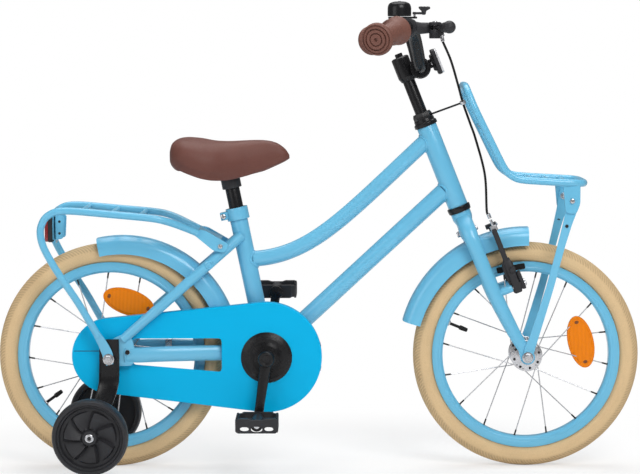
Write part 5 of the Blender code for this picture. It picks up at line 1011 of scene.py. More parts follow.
class BICYCLE_OT_controls(Operator):
    """Brake lever, cable, bell and the front reflector."""
    bl_idname = "bicycle.controls"
    bl_label = "Controls"

    def execute(self, context):
        place, along = bar_point(RIGHT, 117)
        wrist = HINGE + (-3, 15, 0.0)
        rows = np.vstack([place + X * 8, (place + wrist) / 2 - Z * 1, wrist])
        body = [shaft(place, along, -8, 8, 16, 48, 1.5),
                sweep(rows, circle(power=0.8), Z, [(11, 8.5), (10, 8.5), (8.8, 8.8)]),
                block(HINGE + (8, 14, -1), (22, 14, 12), X, Z, 2),
                shaft(HINGE, Z, -18.5, -3.6, 9.8, 40, 1.2), shaft(HINGE, Z, 3.6, 9.5, 9.8, 40, 1.2),
                rod(PIN + (10, 10, -3), BARREL_FOOT, 4.8, 24, 0.8)]
        body += [block(HINGE + (2, 8.5, high), (19, 13, 5.5), X, Z, 1.2) for high in (-6.4, 6.4)]
        steel = [screw_head(HINGE + Z * 9, Z, 4.2, 2.2),
                 shaft(HINGE, Z, -6, 6, 3), screw_head(place - Z * 15.2, -Z, 4, 3),
                 shaft(BARREL_FOOT, BARREL_WAY, -2, 0.1, 5.2, 24, 0.3)]
        # a near-black block in the clamp's slit as painted shade
        split = block(place - Z * 15, (1.2, 16.2, 2.6), X, Z, 0.4)
        piece("lever_bracket", "steering", "brake_lever_body", resin=body, steel=steel,
              dark_groove=[split])

        ball = HINGE + (20, -88, 0.0)
        rows = curve([(1, 2, 0, 3, 6), (11.5, -11.5, 0, 3.2, 6.4), (14.5, -18, 0, 8, 7),
                      (18, -30, 0, 9.2, 7.2), (20, -46, 0, 9.4, 7), (21, -66, 0, 9.4, 7),
                      (20, -88, 0, 9.4, 6.8)], 8)
        end = lathe(eased([(0, -12), (7, -10.4), (10.8, -4.4), (10.8, 4.4), (7, 10.4), (0, 12)], 3.5, 4),
                    ball, Y)
        piece("lever_blade", "brake_lever", "brake_lever",
              resin=[sweep(HINGE + rows[:, :3], circle(power=0.8), Z, rows[:, 3:]), end])

        foot = BARREL_FOOT + BARREL_WAY * 0.3
        top = at(BRAKE_UP + 128.6, BRAKE_PLANE, -42.2)
        mid = steer([(246.2, 78, -86), (100.6, 70.5, -36), (37.3, 63, -34)])
        line = curve([foot, foot + BARREL_WAY * 5, foot + BARREL_WAY * 10, mid[0], OVER_EYE, EYE,
                      UNDER_EYE, mid[1], mid[2], top + HEAD_UP * 16, top + HEAD_UP * 8, top], 8)
        caps = [shaft(foot, BARREL_WAY, 0, 9, 3.2, 20), shaft(top, HEAD_UP, 0, 9, 3.2, 20)]
        casing = piece("brake_cable_casing", None, "brake_cable",
                       black_rubber=[sweep(line, circle(16) * 2.1, Y)], steel=caps)
        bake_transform(casing)

        place, along = bar_point(LEFT, 128)
        seat = place + (-3, 0, 18)
        base = [shaft(place, along, -6, 6, 15, 48, 1.2), shaft(seat, Z, -6, 1, 10, 32),
                shaft(seat, Z, 0, 3.5, 20.5, 48), block(seat + (25, 0, 1.8), (14, 12, 3.6), X, Z, 1)]
        pin = seat + (27.5, 0, 3)
        dome = lathe(eased([(0, 6.5), (20, 6.5), (20.2, 4.5), (21.5, 4.5), (21.5, 21.2), (18.8, 27.8),
                            (10.5, 31), (0, 31.3)], 3.4, 5), seat, Z, 72)
        screw = screw_head(place - Z * 14.6, -Z, 3.4, 2.2)
        knob = lathe([(3, 30.8), (3, 31.4), (1.6, 32)], seat, Z, 20)
        piece("bell_dome", "steering", "bell", black_steel=base + [dome],
              steel=[shaft(pin, Z, 0, 9.5, 2), screw, knob])
        thumb = eased([(-3.6, -3.6), (8, -4), (19, 8), (17, 12), (-3.6, 3.8)], 1.8, 4, True)
        tab = pin + (16.5, 9, 10)
        wedge = eased([(-3, -6), (4, -6), (5, 1), (12.5, 5), (12, 8.5), (-9, 9), (-8.5, 5.5), (-3.5, 1)],
                      2, 4, True)
        ridges = [block(tab + (x, 0, 9), (1, 7.8, 1.2), X, Z, 0.3) for x in np.linspace(-6, 10, 7)]
        piece("bell_thumb", "bell_lever", "bell_lever",
              resin=[plate(thumb, pin + Z * 6.8, X, Y, 4.2, 0.6),
                     plate(wedge, tab, X, Z, 8.5, 0.8)] + ridges)

        face = CLAMP + HEAD_AHEAD * 32
        shape = box_section(27, 23, 10, 8)
        arm = CLAMP + HEAD_AHEAD * 23
        house = [plate(shape, face - HEAD_AHEAD * 1.6, Y, HEAD_UP, 6.8, 1),
                 plate(shape * 0.66, face - HEAD_AHEAD * 6.6, Y, HEAD_UP, 6, 2),
                 block(arm, (11, 14, 16), HEAD_AHEAD, HEAD_UP, 1.5),
                 hoop(17.4, 19, -6, 6, CLAMP, Y, 48, 0.4, 1)]
        lens = plate(shape * 0.965, face + HEAD_AHEAD * 2.9, Y, HEAD_UP, 4.4, 0.8)
        screws = [screw_head(arm + out * 6.6, out, 3.4, 2.2) for out in (-Y, Y)]
        piece("front_reflector_body", "steering", "front_reflector", clear=[lens],
              resin=house, steel=screws)
        return {"FINISHED"}


class BICYCLE_OT_brake(Operator):
    """Two brake arms with pads, posts, pivot screws and the cable's pipe and boot."""
    bl_idname = "bicycle.brake"
    bl_label = "Front Brake"

    def execute(self, context):
        upper = [(37.2, 40), (48.4, 40), (47.2, 112), (37.5, 112)]
        lower = [(34.5, -12), (50, -12), (53, 0.0), (52, 18), (48.2, 50), (37.2, 54), (34.5, 40)]
        prong = [(39.5, -9), (49, -9), (51, 4), (49, 24), (42, 26)]
        holder = eased([(-11, -42), (4, -42), (6, 12), (3, 20), (-10, 20), (-15, 10), (-15, -15)], 4, 4,
                       True)
        shapes = ((upper, 3, -1, 9), (lower, 5, 0, 12.4), (prong, 3, 11.8, 6.2))
        rise = sqrt(PAD_RADIUS ** 2 - PAD_AHEAD ** 2)
        pad_at = FRONT_AXLE + HEAD_AHEAD * PAD_AHEAD + HEAD_UP * rise
        out = unit(pad_at - FRONT_AXLE)
        for side, name in SIDES:
            away = Y * side
            middle = at(BRAKE_UP, BRAKE_PLANE)
            pivot = at(BRAKE_UP, BRAKE_PLANE, side * 42.5)
            arm = [plate(eased(np.array(shape) * (side, 1), ease, 4, True), middle + HEAD_AHEAD * ahead,
                         Y, HEAD_UP, thick, 1.2) for shape, ease, ahead, thick in shapes]
            arm.append(shaft(pivot, HEAD_AHEAD, -6.2, 8.5, 8.5, 40, 1))
            arm.append(plate(holder, pad_at + away * 41.5, HEAD_AHEAD, HEAD_UP, 9, 1.4))
            arm += hex_nut(pad_at + away * 50.2, away, 9.5, 4.8)
            face = pad_at + away * 15
            along = np.cross(Y, out)
            rubber = [block(face + away * 4.5, (50, 9, 10), along, out, 1.8)]
            # near-black blocks in the pad's grooves as painted shade
            painted_cut_shade = [block(face + away * 0.2 + along * shift, (1.2, 1, 9.8), along, out, 0.3)
                    for shift in (-12.5, 0.0, 12.5)]
            steel = [shaft(face, away, 8, 34, 3.2, 20),
                     screw_head(pivot + HEAD_AHEAD * 14.7, HEAD_AHEAD, 5, 3.6),
                     screw_head(at(-160, 57.8, side * 46.2), HEAD_AHEAD, 3.4, 2.6)]
            top = at(BRAKE_UP + 108, BRAKE_PLANE, side * 42.2)
            if side == RIGHT:
                pipe = top + HEAD_UP * 2
                steel.append(tube([pipe, pipe + HEAD_UP * 8 - Y * 1, pipe + HEAD_UP * 16], 2.5, Y, 4))
                steel.append(block(top + HEAD_UP * 2, (12.5, 10, 10), HEAD_AHEAD, HEAD_UP, 1.2))
                folds = np.linspace(0, 38, 55)
                boot = np.stack([3.1 + 0.5 * np.cos(folds * 2 * pi / 4.2), folds], -1)
                boot = np.vstack([boot, [(2.4, 38), (2.4, 0.0)]])
                rubber.append(lathe(boot, top + Y * 5.2 + HEAD_UP * 3.5, Y, 24, True))
            else:
                arm.append(shaft(top, HEAD_AHEAD, -10, 10, 4.5))
                steel.append(screw_head(top + HEAD_AHEAD * 9.8, HEAD_AHEAD, 3.8, 2.4))
                wire = top + HEAD_UP * 3.5
                steel.append(shaft(wire, Y, 0, -46.2, 0.8, 8))
            piece("brake_caliper_" + name, "brake_arm_" + name, "brake_arm_" + name, resin=arm,
                  black_rubber=rubber, steel=steel, dark_groove=painted_cut_shade)
        return {"FINISHED"}


# Guards and carriers

def spread(points, count):
    """Points at even steps along a line of them."""
    p = np.asarray(points, float)
    along = np.concatenate([[0], np.cumsum(np.linalg.norm(np.diff(p, axis=0), axis=1))])
    even = np.linspace(0, along[-1], count)
    return np.stack([np.interp(even, along, p[:, k]) for k in range(p.shape[1])], -1)


def guard(centre, radius, start, span):
    """A channel of thin sheet round an arc, with two ridges pressed along each side of its
    crown, which lie at fixed distances from the middle plane, and a hem along its lips."""
    half = eased([(radius - GUARD_DEPTH, GUARD_HALF), (radius - 11, GUARD_HALF), (radius, 16.8),
                  (radius + 0.2, 0.0)], 12, 8)
    outer = spread(np.vstack([half, half[-2::-1] * (1, -1)]), 97)
    across = np.abs(outer[:, 1])
    ridge = hill(across, 7.5, 1.1) + hill(across, 15.8, 1.1)
    slope = unit(np.gradient(outer, axis=0))
    inward = np.stack([slope[:, 1], -slope[:, 0]], -1)
    hem = 0.7 * hill(outer[:, 0], radius - GUARD_DEPTH, 1.8)
    outer = outer - inward * (bike().sizes.guard_ridge / MM * ridge * 0.6 + hem)[:, None]
    section = np.vstack([outer, (outer + inward * (1.4 + hem)[:, None])[::-1]])
    turn = start + np.linspace(0, span, 97)[:, None]
    return shell(around(centre, turn, section[:, 0], section[:, 1]), ends="strip")


class BICYCLE_OT_guards(Operator):
    """The two mudguards with their fixing bolts."""
    bl_idname = "bicycle.guards"
    bl_label = "Mudguards"

    def execute(self, context):
        front = guard(FRONT_AXLE, 226.3, radians(89), radians(75.5))
        stay = at(-103.9, 42.5)
        bolts = [screw_head(np.array([stay[0], side * 28.8, stay[2]]), Y * side, 3.6, 2.2)
                 for side in (RIGHT, LEFT)]
        piece("front_guard_sheet", "steering", "front_mudguard", paint=[front], steel=bolts)
        rear = guard(GUARD_CENTRE, 206.5, radians(8), radians(94.5))
        away = unit(BRIDGE - GUARD_CENTRE)
        inside = hex_nut(GUARD_CENTRE + away * 205, -away, 8, 3.5)
        piece("rear_guard_sheet", "frame", "rear_mudguard", paint=[rear], steel=inside)
        return {"FINISHED"}


FRONT_LOOP = [(-110.5, 46.8, 477), (-106.5, 69.5, 464), (-96, 75.5, 438), (-49, 75.5, 342),
              (-40, 75.5, 327), (-24, 75.5, 316), (-6, 75.5, 313), (70, 75.5, 308.5), (90, 69.5, 307.5),
              (98, 46.8, 307)]
LEG_STRAP = [(0, 53.6, -10, 6), (0, 53.6, 0, 9.2), (3, 53.6, 15, 9), (9.5, 54.4, 32, 7.8),
             (37, 61.6, 123, 6.6), (56, 68.2, 198, 6.6), (67, 72.2, 240, 8), (73.5, 72.2, 262, 10),
             (75.5, 72.2, 280, 10.5), (75.5, 72.2, 290, 7)]
REAR_RAIL = [(-17, 68.4, 40), (-52, 73.4, 102), (-76, 77, 138), (-98.5, 80, 175), (-113, 80, 204),
             (-116.5, 80, 229), (-108, 80, 250), (-90, 80, 261), (-65, 80, 262.5), (70, 80, 250),
             (92.5, 77.6, 246.5), (115, 66.4, 239), (142, 49.6, 227), (156, 45.2, 220.5)]


def cross_bars(axle, places, half):
    """Thin bars across a carrier."""
    parts = []
    for x, z in places:
        middle = axle + (x, 0.0, z)
        parts.append(shaft(middle, Y, -half, half, 4.2, 24, 2))
    return parts


class BICYCLE_OT_carriers(Operator):
    """Front carrier with its legs, and the rear one with its plates and reflector."""
    bl_idname = "bicycle.carriers"
    bl_label = "Carriers"

    def execute(self, context):
        loop = np.vstack([sided(FRONT_LOOP, RIGHT, FRONT_AXLE),
                          sided(FRONT_LOOP, LEFT, FRONT_AXLE)[::-1]])
        paint = [tube(loop, RAIL_RADIUS, np.array([0.9, 0.0, 0.44]), 22, loop=True)]
        paint += cross_bars(FRONT_AXLE, ((5, 312.5), (36, 310.8), (66, 308.8), (-80, 406.5)), 75)
        flat = eased([(62.5, 256), (81, 254), (88, 272), (88, 309), (57.5, 310.5)], 6, 4, True)
        steel = []
        for side, name in SIDES:
            out = Y * side
            paint.append(plate(flat, FRONT_AXLE + out * 75.5, X, Z, 3, 0.6))
            bolt = FRONT_AXLE + (74, side * 77, 277)
            steel.append(screw_head(bolt, out, 4.6, 3.2))
            steel += hex_nut(bolt - out * 6.3, -out, 9, 4)
            steel.append(shaft(bolt, out, 0, -12, 2.4, 12))

            rows = eased(LEG_STRAP, 12, 6)
            leg = sweep(FRONT_AXLE + rows[:, :3] * (1, side, 1), box_section(1, 1, 0.3, 3), Y,
                        np.stack([np.full(len(rows), 1.5), rows[:, 3]], -1))
            # a near-black rod in the strap's hole as painted shade
            hole = rod(*(FRONT_AXLE + [(65, side * 70, 233), (65, side * 74.1, 233)]), 3, 20, 0.3)
            piece("front_leg_strap_" + name, "steering", "front_rack_leg_" + name, paint=[leg],
                  dark_groove=[hole])
        piece("front_carrier", "steering", "front_rack", paint=paint, steel=steel)

        paint = cross_bars(REAR_AXLE, ((-45, 260.5), (6, 255.5), (56, 251), (-97.5, 257)), 79.5)
        steel = []
        for side, _ in SIDES:
            out = Y * side
            rail = sided(REAR_RAIL, side, REAR_AXLE)
            paint.append(tube(rail, RAIL_RADIUS, Y, 22))
            way = unit(rail[0] - rail[1])
            ends = np.vstack([rail[0] - way * 10, rail[0] + way * 4, rail[0] + way * 16,
                              sided([(-2, 65.4, 10), (0, 65.4, -1), (2, 65.4, -9.5)], side, REAR_AXLE)])
            sizes = [(5.6, 5.6), (3.8, 7.2), (1.5, 8.4), (1.5, 9.2), (1.5, 9.2), (1.5, 6)]
            rows = eased(np.hstack([ends, sizes]), 6, 5)
            paint.append(sweep(rows[:, :3], box_section(1, 1, 0.4, 3), Y, rows[:, 3:]))
            lug = eased([(147, 219), (185, 188), (204, 185), (212, 200), (170, 224.5), (156, 227)], 5, 4,
                        True)
            paint.append(plate(lug, REAR_AXLE + out * 42, X, Z, 3.4, 0.6))
            bolt = REAR_AXLE + (196, side * 43.7, 196.5)
            steel.append(screw_head(bolt, out, 4.4, 3))
        mount = REAR_AXLE + (-97.5, 0.0, 230)
        paint.append(block(mount, (3, 40, 60), X, Z, 1))
        ear = eased([(-1, -24), (15, -21), (17, 18), (-1, 22)], 4, 4, True)
        paint += [plate(ear, mount + out * 19.2, X, Z, 1.6, 0.4) for out in (-Y, Y)]
        web = REAR_AXLE + [(157.2, 0.0, 225.4), (196.5, 0.0, 207.2)]
        paint.append(sweep(np.linspace(*web, 4), box_section(42.3, 1.5, 0.6), Y))
        piece("rear_carrier", "frame", "rear_rack", paint=paint, steel=steel)

        shape = box_section(29, 24.5, 8, 8)
        back = mount - X * 1.8 - Z * 3
        shells = [plate(shape, back - X * 5.5, Y, Z, 7.5, 1)]
        lens = plate(shape * 0.97, back - X * 11.8, Y, Z, 6.4, 1.2)
        side_plate = block(back - X * 1, (2, 46, 40), X, Z, 0.6)
        # near-black discs on the ears as painted shade in their holes
        dots = [rod(mount + (8.5, side * 19.5, z), mount + (8.5, side * 20.2, z), 2.4, 16, 0.2)
                for side in (RIGHT, LEFT) for z in (-12, 9)]
        piece("rear_reflector_body", "frame", "rear_reflector", red=[lens], resin=shells,
              paint=[side_plate], dark_groove=dots)
        return {"FINISHED"}


# Drive

def toothed(centre, teeth, pitch):
    """A plate whose radius falls by 7 |sin(teeth * turn / 2)|^1.6 between its teeth."""
    turn = turns(teeth * 12)
    radius = pitch + 2.6 - 7 * np.abs(np.sin(teeth * turn / 2)) ** 1.6
    outline = ways(turn, (1, 0), (0, 1)) * radius[:, None]
    return plate(outline, centre - Y * CHAIN_LINE, X, Z, 2.8, 0.4)


def hull(front_radius, rear_radius, rear=REAR_AXLE, count=61):
    """Round a circle at the bracket and one at the rear, and along the two lines that
    touch both, from the front circle's foot."""
    line = BRACKET - rear
    tilt = np.arctan2(line[2], line[0])
    lean = asin((front_radius - rear_radius) / np.linalg.norm(line))
    ahead = np.linspace(-pi / 2 - lean, pi / 2 + lean, count) + tilt
    behind = np.linspace(pi / 2 + lean, 3 * pi / 2 - lean, count) + tilt
    ends = [(BRACKET, front_radius, ahead), (rear, rear_radius, behind)]
    return np.vstack([np.stack([c[0] + r * np.cos(a), c[2] + r * np.sin(a)], -1) for c, r, a in ends])


def chain():
    """Links laid along even steps of the line round both pitch circles: each has two
    plates, wide and narrow in turn, a roller and a pin."""
    line = hull(FRONT_PITCH, REAR_PITCH)
    line = spread(np.vstack([line, line[:1]]), CHAIN_LINKS + 1)
    pins = np.insert(line, 1, -CHAIN_LINE, 1)
    way = np.diff(pins, axis=0)
    length = np.linalg.norm(way[0])
    half = eased([(-4, -3.6), (length + 4, -3.6), (length + 4, 3.6), (-4, 3.6)], 3.4, 3, True)
    axes = np.stack([unit(way), np.broadcast_to(Y, way.shape), np.cross(unit(way), Y)], 1)
    parts = []
    for first, out in ((0, 3.4), (1, 2.3)):
        for side in (RIGHT, LEFT):
            flat = plate(half, Y * side * out, X, Z, 0.9, 0.2)
            parts.append(repeat(flat, pins[first:-1:2], axes[first::2]))
    parts.append(repeat(rod(-Y * 2, Y * 2, 3.6, 10, 0.3), pins[:-1], axes))
    parts.append(repeat(rod(-Y * 4, Y * 4, 1.5, 8, 0.3), pins[:-1], axes))
    return parts


CASE_REAR = REAR_AXLE + Z * 3.5


def case_holes(x):
    """Foot and top of the opening in the case's face at each x: round the rear axle, the
    window, and round the crank; equal where there is none."""
    share = (x - WINDOW_START) / (WINDOW_END - WINDOW_START)
    low, high = 188.5 - 13.5 * share, np.full_like(x, 234.5)
    middle = np.interp(x, [-351.5, WINDOW_START, WINDOW_END, -132.5], [200, 211.5, 204.8, 200.3])
    near = np.minimum(x - WINDOW_START, WINDOW_END - x)
    short = np.maximum(WINDOW_CORNER - near, 0)
    corner = WINDOW_CORNER - np.sqrt(np.maximum(WINDOW_CORNER ** 2 - short ** 2, 0))
    inside = near >= 0
    bottom = np.where(inside, low + corner, middle)
    top = np.where(inside, high - corner, middle)
    for centre, radius in ((REAR_AXLE, AXLE_HOLE), (BRACKET, CRANK_HOLE)):
        reach = radius ** 2 - (x - centre[0]) ** 2
        open_here = reach > 0
        reach = np.sqrt(np.maximum(reach, 0))
        bottom = np.where(open_here, centre[2] - reach, bottom)
        top = np.where(open_here, centre[2] + reach, top)
    return bottom, top


class BICYCLE_OT_drive(Operator):
    """Chainring with its disc, spindle, rear sprocket, chain and the case over them."""
    bl_idname = "bicycle.drive"
    bl_label = "Drive"

    def execute(self, context):
        radius = np.linspace(0.0, 43.5, 70)
        rise = np.interp(radius, [0, 39, 43.5], [4.4, 3.4, 1.6])
        rise += 0.22 * np.cos(radius * 2 * pi / 2.4)
        profile = [(0, 0), (44.8, 0), (45, 0.6)]
        profile += list(zip(radius[::-1], rise[::-1]))
        boss = shaft(BRACKET, Y, -36.8, -53, 18, 40)
        piece("chainring_disc", "cranks", "chainring_with_disc",
              black_steel=[lathe(profile, BRACKET - Y * 48.5, -Y, 96), boss],
              chain=[toothed(BRACKET, FRONT_TEETH, FRONT_PITCH)])
        piece("spindle_bar", "cranks", "crank_spindle", steel=[shaft(BRACKET, Y, -74.5, 74.5, 7.5)])
        hub = shaft(REAR_AXLE, Y, -34.5, -50, 15, 40)
        piece("rear_cog", "rear_sprocket", "rear_sprocket",
              steel=[toothed(REAR_AXLE, REAR_TEETH, REAR_PITCH), hub])
        piece("chain_links", "frame", "chain", chain=chain())

        line = hull(CASE_FRONT, CASE_BACK, CASE_REAR)
        slope = unit(np.roll(line, -1, 0) - np.roll(line, 1, 0))
        inward = np.stack([-slope[:, 1], slope[:, 0]], -1)
        wall = eased([(0, 30), (0, CASE_OUTER), (4.2, CASE_OUTER), (4.2, CASE_FACE), (1.6, CASE_FACE),
                      (1.6, 30)], [0.4, 2.6, 0.6, 0.6, 1.2, 0.4], 4, True)
        flat = line[:, None] + inward[:, None] * wall[None, :, :1]
        edge = shell(np.stack([flat[..., 0], np.broadcast_to(-wall[:, 1], flat.shape[:2]), flat[..., 1]],
                              -1), loop=True)
        face = hull(CASE_FRONT - CASE_RIM, CASE_BACK - CASE_RIM, CASE_REAR, 121)
        low, high = face[:, 0].min(), face[:, 0].max()
        turn = np.linspace(0, pi, 161)
        x = (low + high) / 2 - (high - low) / 2 * np.cos(turn)
        marks = np.concatenate([np.linspace(0, WINDOW_CORNER, 7), [-0.3]])
        marks = np.concatenate([WINDOW_START + marks, WINDOW_END - marks])
        rounds = np.cos(np.linspace(0, pi, 41))
        x = np.unique(np.concatenate([x[1:-1], marks, REAR_AXLE[0] + AXLE_HOLE * rounds,
                                      BRACKET[0] + CRANK_HOLE * rounds]))
        x = x[np.concatenate([[True], np.diff(x) > 0.01])]
        middle = np.interp(face[:, 0], [low, high], [CASE_REAR[2], BRACKET[2]])
        over = face[face[:, 1] >= middle]
        under = face[face[:, 1] < middle]
        over, under = over[np.argsort(over[:, 0])], under[np.argsort(under[:, 0])]
        bottom, top = case_holes(x)
        cover = pierced(x, np.interp(x, under[:, 0], under[:, 1]), np.interp(x, over[:, 0], over[:, 1]),
                        bottom, top, -CASE_FACE, -CASE_OUTER, 0.3)
        # a dark blue strip along the case's split line as painted shade
        split = block(np.array([-400.5, -47.9, 212.5]), (60, 0.8, 1.4), X, Z, 0.3)
        clips = [block(BRACKET + (96.5 * cos(a), -40, 96.5 * sin(a)),
                       (3, 12, 7.5), np.array([cos(a), 0, sin(a)]), np.array([-sin(a), 0, cos(a)]), 0.8)
                 for a in (-0.21, 0.23)]
        piece("chain_cover", "frame", "chain_case", case=[edge] + cover, blue_groove=[split] + clips)
        return {"FINISHED"}


class BICYCLE_OT_cranks(Operator):
    """The two cranks and their pedals."""
    bl_idname = "bicycle.cranks"
    bl_label = "Cranks and Pedals"

    def execute(self, context):
        for side, name in SIDES:
            out = Y * side
            way = CRANK_WAY * (1 if side == RIGHT else -1)
            eye = BRACKET + way * CRANK_LENGTH
            rows = eased([(0.0, 65.5, 5.8, 11.2), (30, 66.5, 6, 9.4), (84, 69.5, 5.8, 8),
                          (CRANK_LENGTH, 69.5, 6, 8.8)], 10, 6)
            line = BRACKET + rows[:, :1] * way + rows[:, 1:2] * out
            boss = eased([(0, 53.5), (12.8, 53.5), (14.5, 57), (14.5, 74), (12.5, 77.5), (8.5, 77.5),
                          (8, 76.2), (0, 76.2)], 1, 3)
            parts = [sweep(line, circle(power=0.75), Y, rows[:, 2:]), lathe(boss, BRACKET, out, 48),
                     shaft(eye, out, 63.3, 76.1, 11.8, 40, 1.4)]
            axle = [shaft(eye, out, 69.5, 160, 5.5), shaft(eye, out, 76.1, 79.5, 7.8, 6, 0.6)]
            piece("crank_arm_" + name, "cranks", "crank_" + name, black_steel=parts, steel=axle)

            middle = eye + out * PEDAL_OUT
            barrel = shaft(middle, out, -40, 36, 10.5, 32, 1)
            x = np.linspace(-36.5, 36.5, 117)
            high = 10.8 + 2 * ramp(np.abs(x), 10, 16)
            high -= 4.5 * ramp(np.abs(x), 31, 36.5) ** 2
            low = -12.8 + 4.5 * ramp(np.abs(x), 31, 36.5) ** 2
            openings = ((-21, 7.5, -5.5, 4), (21, 7.5, -5.5, 4), (0.0, 9.8, -6, 5.2))
            windows = []
            for centre, half, level, tall in openings:
                reach = np.clip(1 - ((x - centre) / half) ** 2, 0, 1) ** 0.35
                windows.append((reach > 0, level, tall * reach))
            foot, top = np.full_like(x, -5.7), np.full_like(x, -5.7)
            for here, level, tall in windows:
                foot, top = np.where(here, level - tall, foot), np.where(here, level + tall, top)
            parts = [barrel]
            outer = pierced(middle[0] + x, middle[2] + low, middle[2] + high, middle[2] + foot,
                            middle[2] + top, middle[1] + side * 34.5, middle[1] + side * 42, 1.2)
            inner = box_section(28, 12, 4, 4)
            parts += outer + [plate(inner, middle - out * 38.5, X, Z, 7, 1.2)]
            studs = []
            for fore in (-1, 1):
                rail = [(fore * 25.5, -37), (fore * 34.2, -29), (fore * 34.2, 36)]
                rail = middle + eased([(a, side * b, 0.0) for a, b in rail], 12, 6)
                parts.append(sweep(rail, box_section(10.5, 2.7, 0.8), Z))
                for along in np.linspace(-24, 30, 6):
                    studs.append(middle + (fore * 34.2, side * along, 0.0))
                parts.append(block(middle + (fore * 21, side * 3, 0.0), (25, 5, 16), X, Z, 1))
            studs = np.array(studs)
            stud = lathe([(1.9, -12.8), (2.4, -10), (2.4, 10), (1.9, 12.8)], np.zeros(3), Z, 10)
            parts.append(repeat(stud, studs, (X, Y, Z)))
            piece("pedal_cage_" + name, "pedal_" + name, "pedal_" + name, resin=parts)
        return {"FINISHED"}


# Saddle

SADDLE = np.array([(-104.5, 26, 48, 0.40), (-100, 18, 60, 0.68), (-88, 7, 67.5, 0.88),
                   (-72, -3, 69, 0.98), (-48, -12.5, 65.5, 1.00), (-25, -14.5, 61.2, 0.90),
                   (0, -12.5, 60, 0.69), (30, -3, 61.5, 0.47), (60, 8.5, 63.5, 0.345),
                   (82, 18, 60.5, 0.295), (98, 25.5, 50.5, 0.24), (106.5, 31, 39, 0.14)])
FLANK = np.array([(0.55, 0.0), (0.86, 0.10), (0.99, 0.36), (0.97, 0.60), (0.82, 0.82),
                  (0.52, 0.955), (0.0, 1.0)])


def saddle_rings():
    """Stations along X, each a flank and crown carried round to the other side and then up
    into the pocket under it, which fades out towards the nose and tail. Also how many of a
    station's points lie on the outside."""
    rows = curve(SADDLE, 6)
    rings = []
    for x, bottom, top, share in rows:
        half = SADDLE_HALF * share - 1.2
        top = top - 1.2
        deep = ramp(x, -94, -84) * ramp(x, 58, 44)
        start = 0.55 + deep * max(0.0, 1 - 9 / half - 0.55)
        second = max(0.86, (start + 0.99) / 2)
        flank = FLANK.copy()
        flank[0] = start, np.interp(start, FLANK[:3, 0], FLANK[:3, 1])
        flank[1] = second, np.interp(second, FLANK[:3, 0], FLANK[:3, 1])
        flank = curve(np.vstack([flank, flank[-2::-1] * (-1, 1)]), 4)
        over = flank * (half, top - bottom) + (0, bottom)
        edge = over[-1]
        roof = bottom + deep * (min(bottom + 34, top - 9) - bottom)
        wall = abs(edge[0]) - 0.4
        shape = np.array([(-wall, edge[1] + (roof - edge[1]) * 0.35), (-wall, roof - 10 * deep),
                          (-wall * 0.92, roof - 3 * deep), (-wall * 0.78, roof), (-wall * 0.30, roof)])
        ring = np.vstack([over, shape, shape[::-1] * (-1, 1)])
        rings.append(np.insert(ring, 0, x, 1))
    return np.array(rings) + (POST_TOP[0], 0, POST_TOP[2]), len(over)


def blown_up(rings, furthest):
    """Shut the rings, mesh them evenly and blow them up as cloth: where the even points were
    and how far each has moved, which is held to the furthest distance."""
    scene = bpy.context.scene
    points, quads, tris = shell(rings)
    mesh = bpy.data.meshes.new("pad")
    mesh.from_pydata((points * MM).tolist(), [], quads.tolist() + tris.tolist())
    pad = bpy.data.objects.new("pad", mesh)
    scene.collection.objects.link(pad)
    even = pad.modifiers.new("even", "REMESH")
    even.mode = "VOXEL"
    even.voxel_size = 0.005
    applied(pad)
    before = coordinates(pad)
    cloth = pad.modifiers.new("padding", "CLOTH")
    cloth.settings.use_pressure = True
    cloth.settings.uniform_pressure_force = 4.0
    cloth.settings.effector_weights.gravity = 0.0
    cloth.point_cache.frame_start = 1
    cloth.point_cache.frame_end = CLOTH_FRAMES
    for step in range(1, CLOTH_FRAMES + 1):
        scene.frame_set(step)
    applied(pad)
    scene.frame_set(1)
    move = coordinates(pad) - before
    bpy.data.objects.remove(pad)
    length = np.linalg.norm(move, axis=1, keepdims=True)
    return before, move * np.minimum(1.0, furthest / np.maximum(length, 1e-9))


def swell(rings, outer, furthest):
    """Move the outside of the rings as the cloth nearest them moves, less near their lips."""
    before, move = blown_up(rings[:, :outer], furthest)
    flat = rings[:, :outer].reshape(-1, 3)
    gap = (flat ** 2).sum(1)[:, None] + (before ** 2).sum(1) - 2 * flat @ before.T
    weight = np.exp(-gap / (2 * 6 ** 2))
    shift = weight @ move / weight.sum(1, keepdims=True)
    share = np.linspace(0, 1, outer)
    rise = ramp(np.minimum(share, 1 - share), 0, 0.15) ** 1.5
    rings[:, :outer] += shift.reshape(len(rings), outer, 3) * rise[:, None]


def applied(obj):
    """Replace the mesh by what its modifiers make of it."""
    graph = bpy.context.evaluated_depsgraph_get()
    mesh = bpy.data.meshes.new_from_object(obj.evaluated_get(graph))
    obj.modifiers.clear()
    obj.data = mesh


def coordinates(obj):
    """The places of the mesh's points."""
    flat = np.empty(len(obj.data.vertices) * 3, np.float32)
    obj.data.vertices.foreach_get("co", flat)
    return flat.reshape(-1, 3).astype(float) / MM


def pan_ring(x, bottom, top, half):
    """A flat-bottomed section with rounded upper corners."""
    shape = np.array([(half, bottom), (half, top - 10), (half * 0.92, top - 3), (half * 0.78, top)])
    return np.insert(np.vstack([shape, shape[::-1] * (-1, 1)]), 0, x, 1)


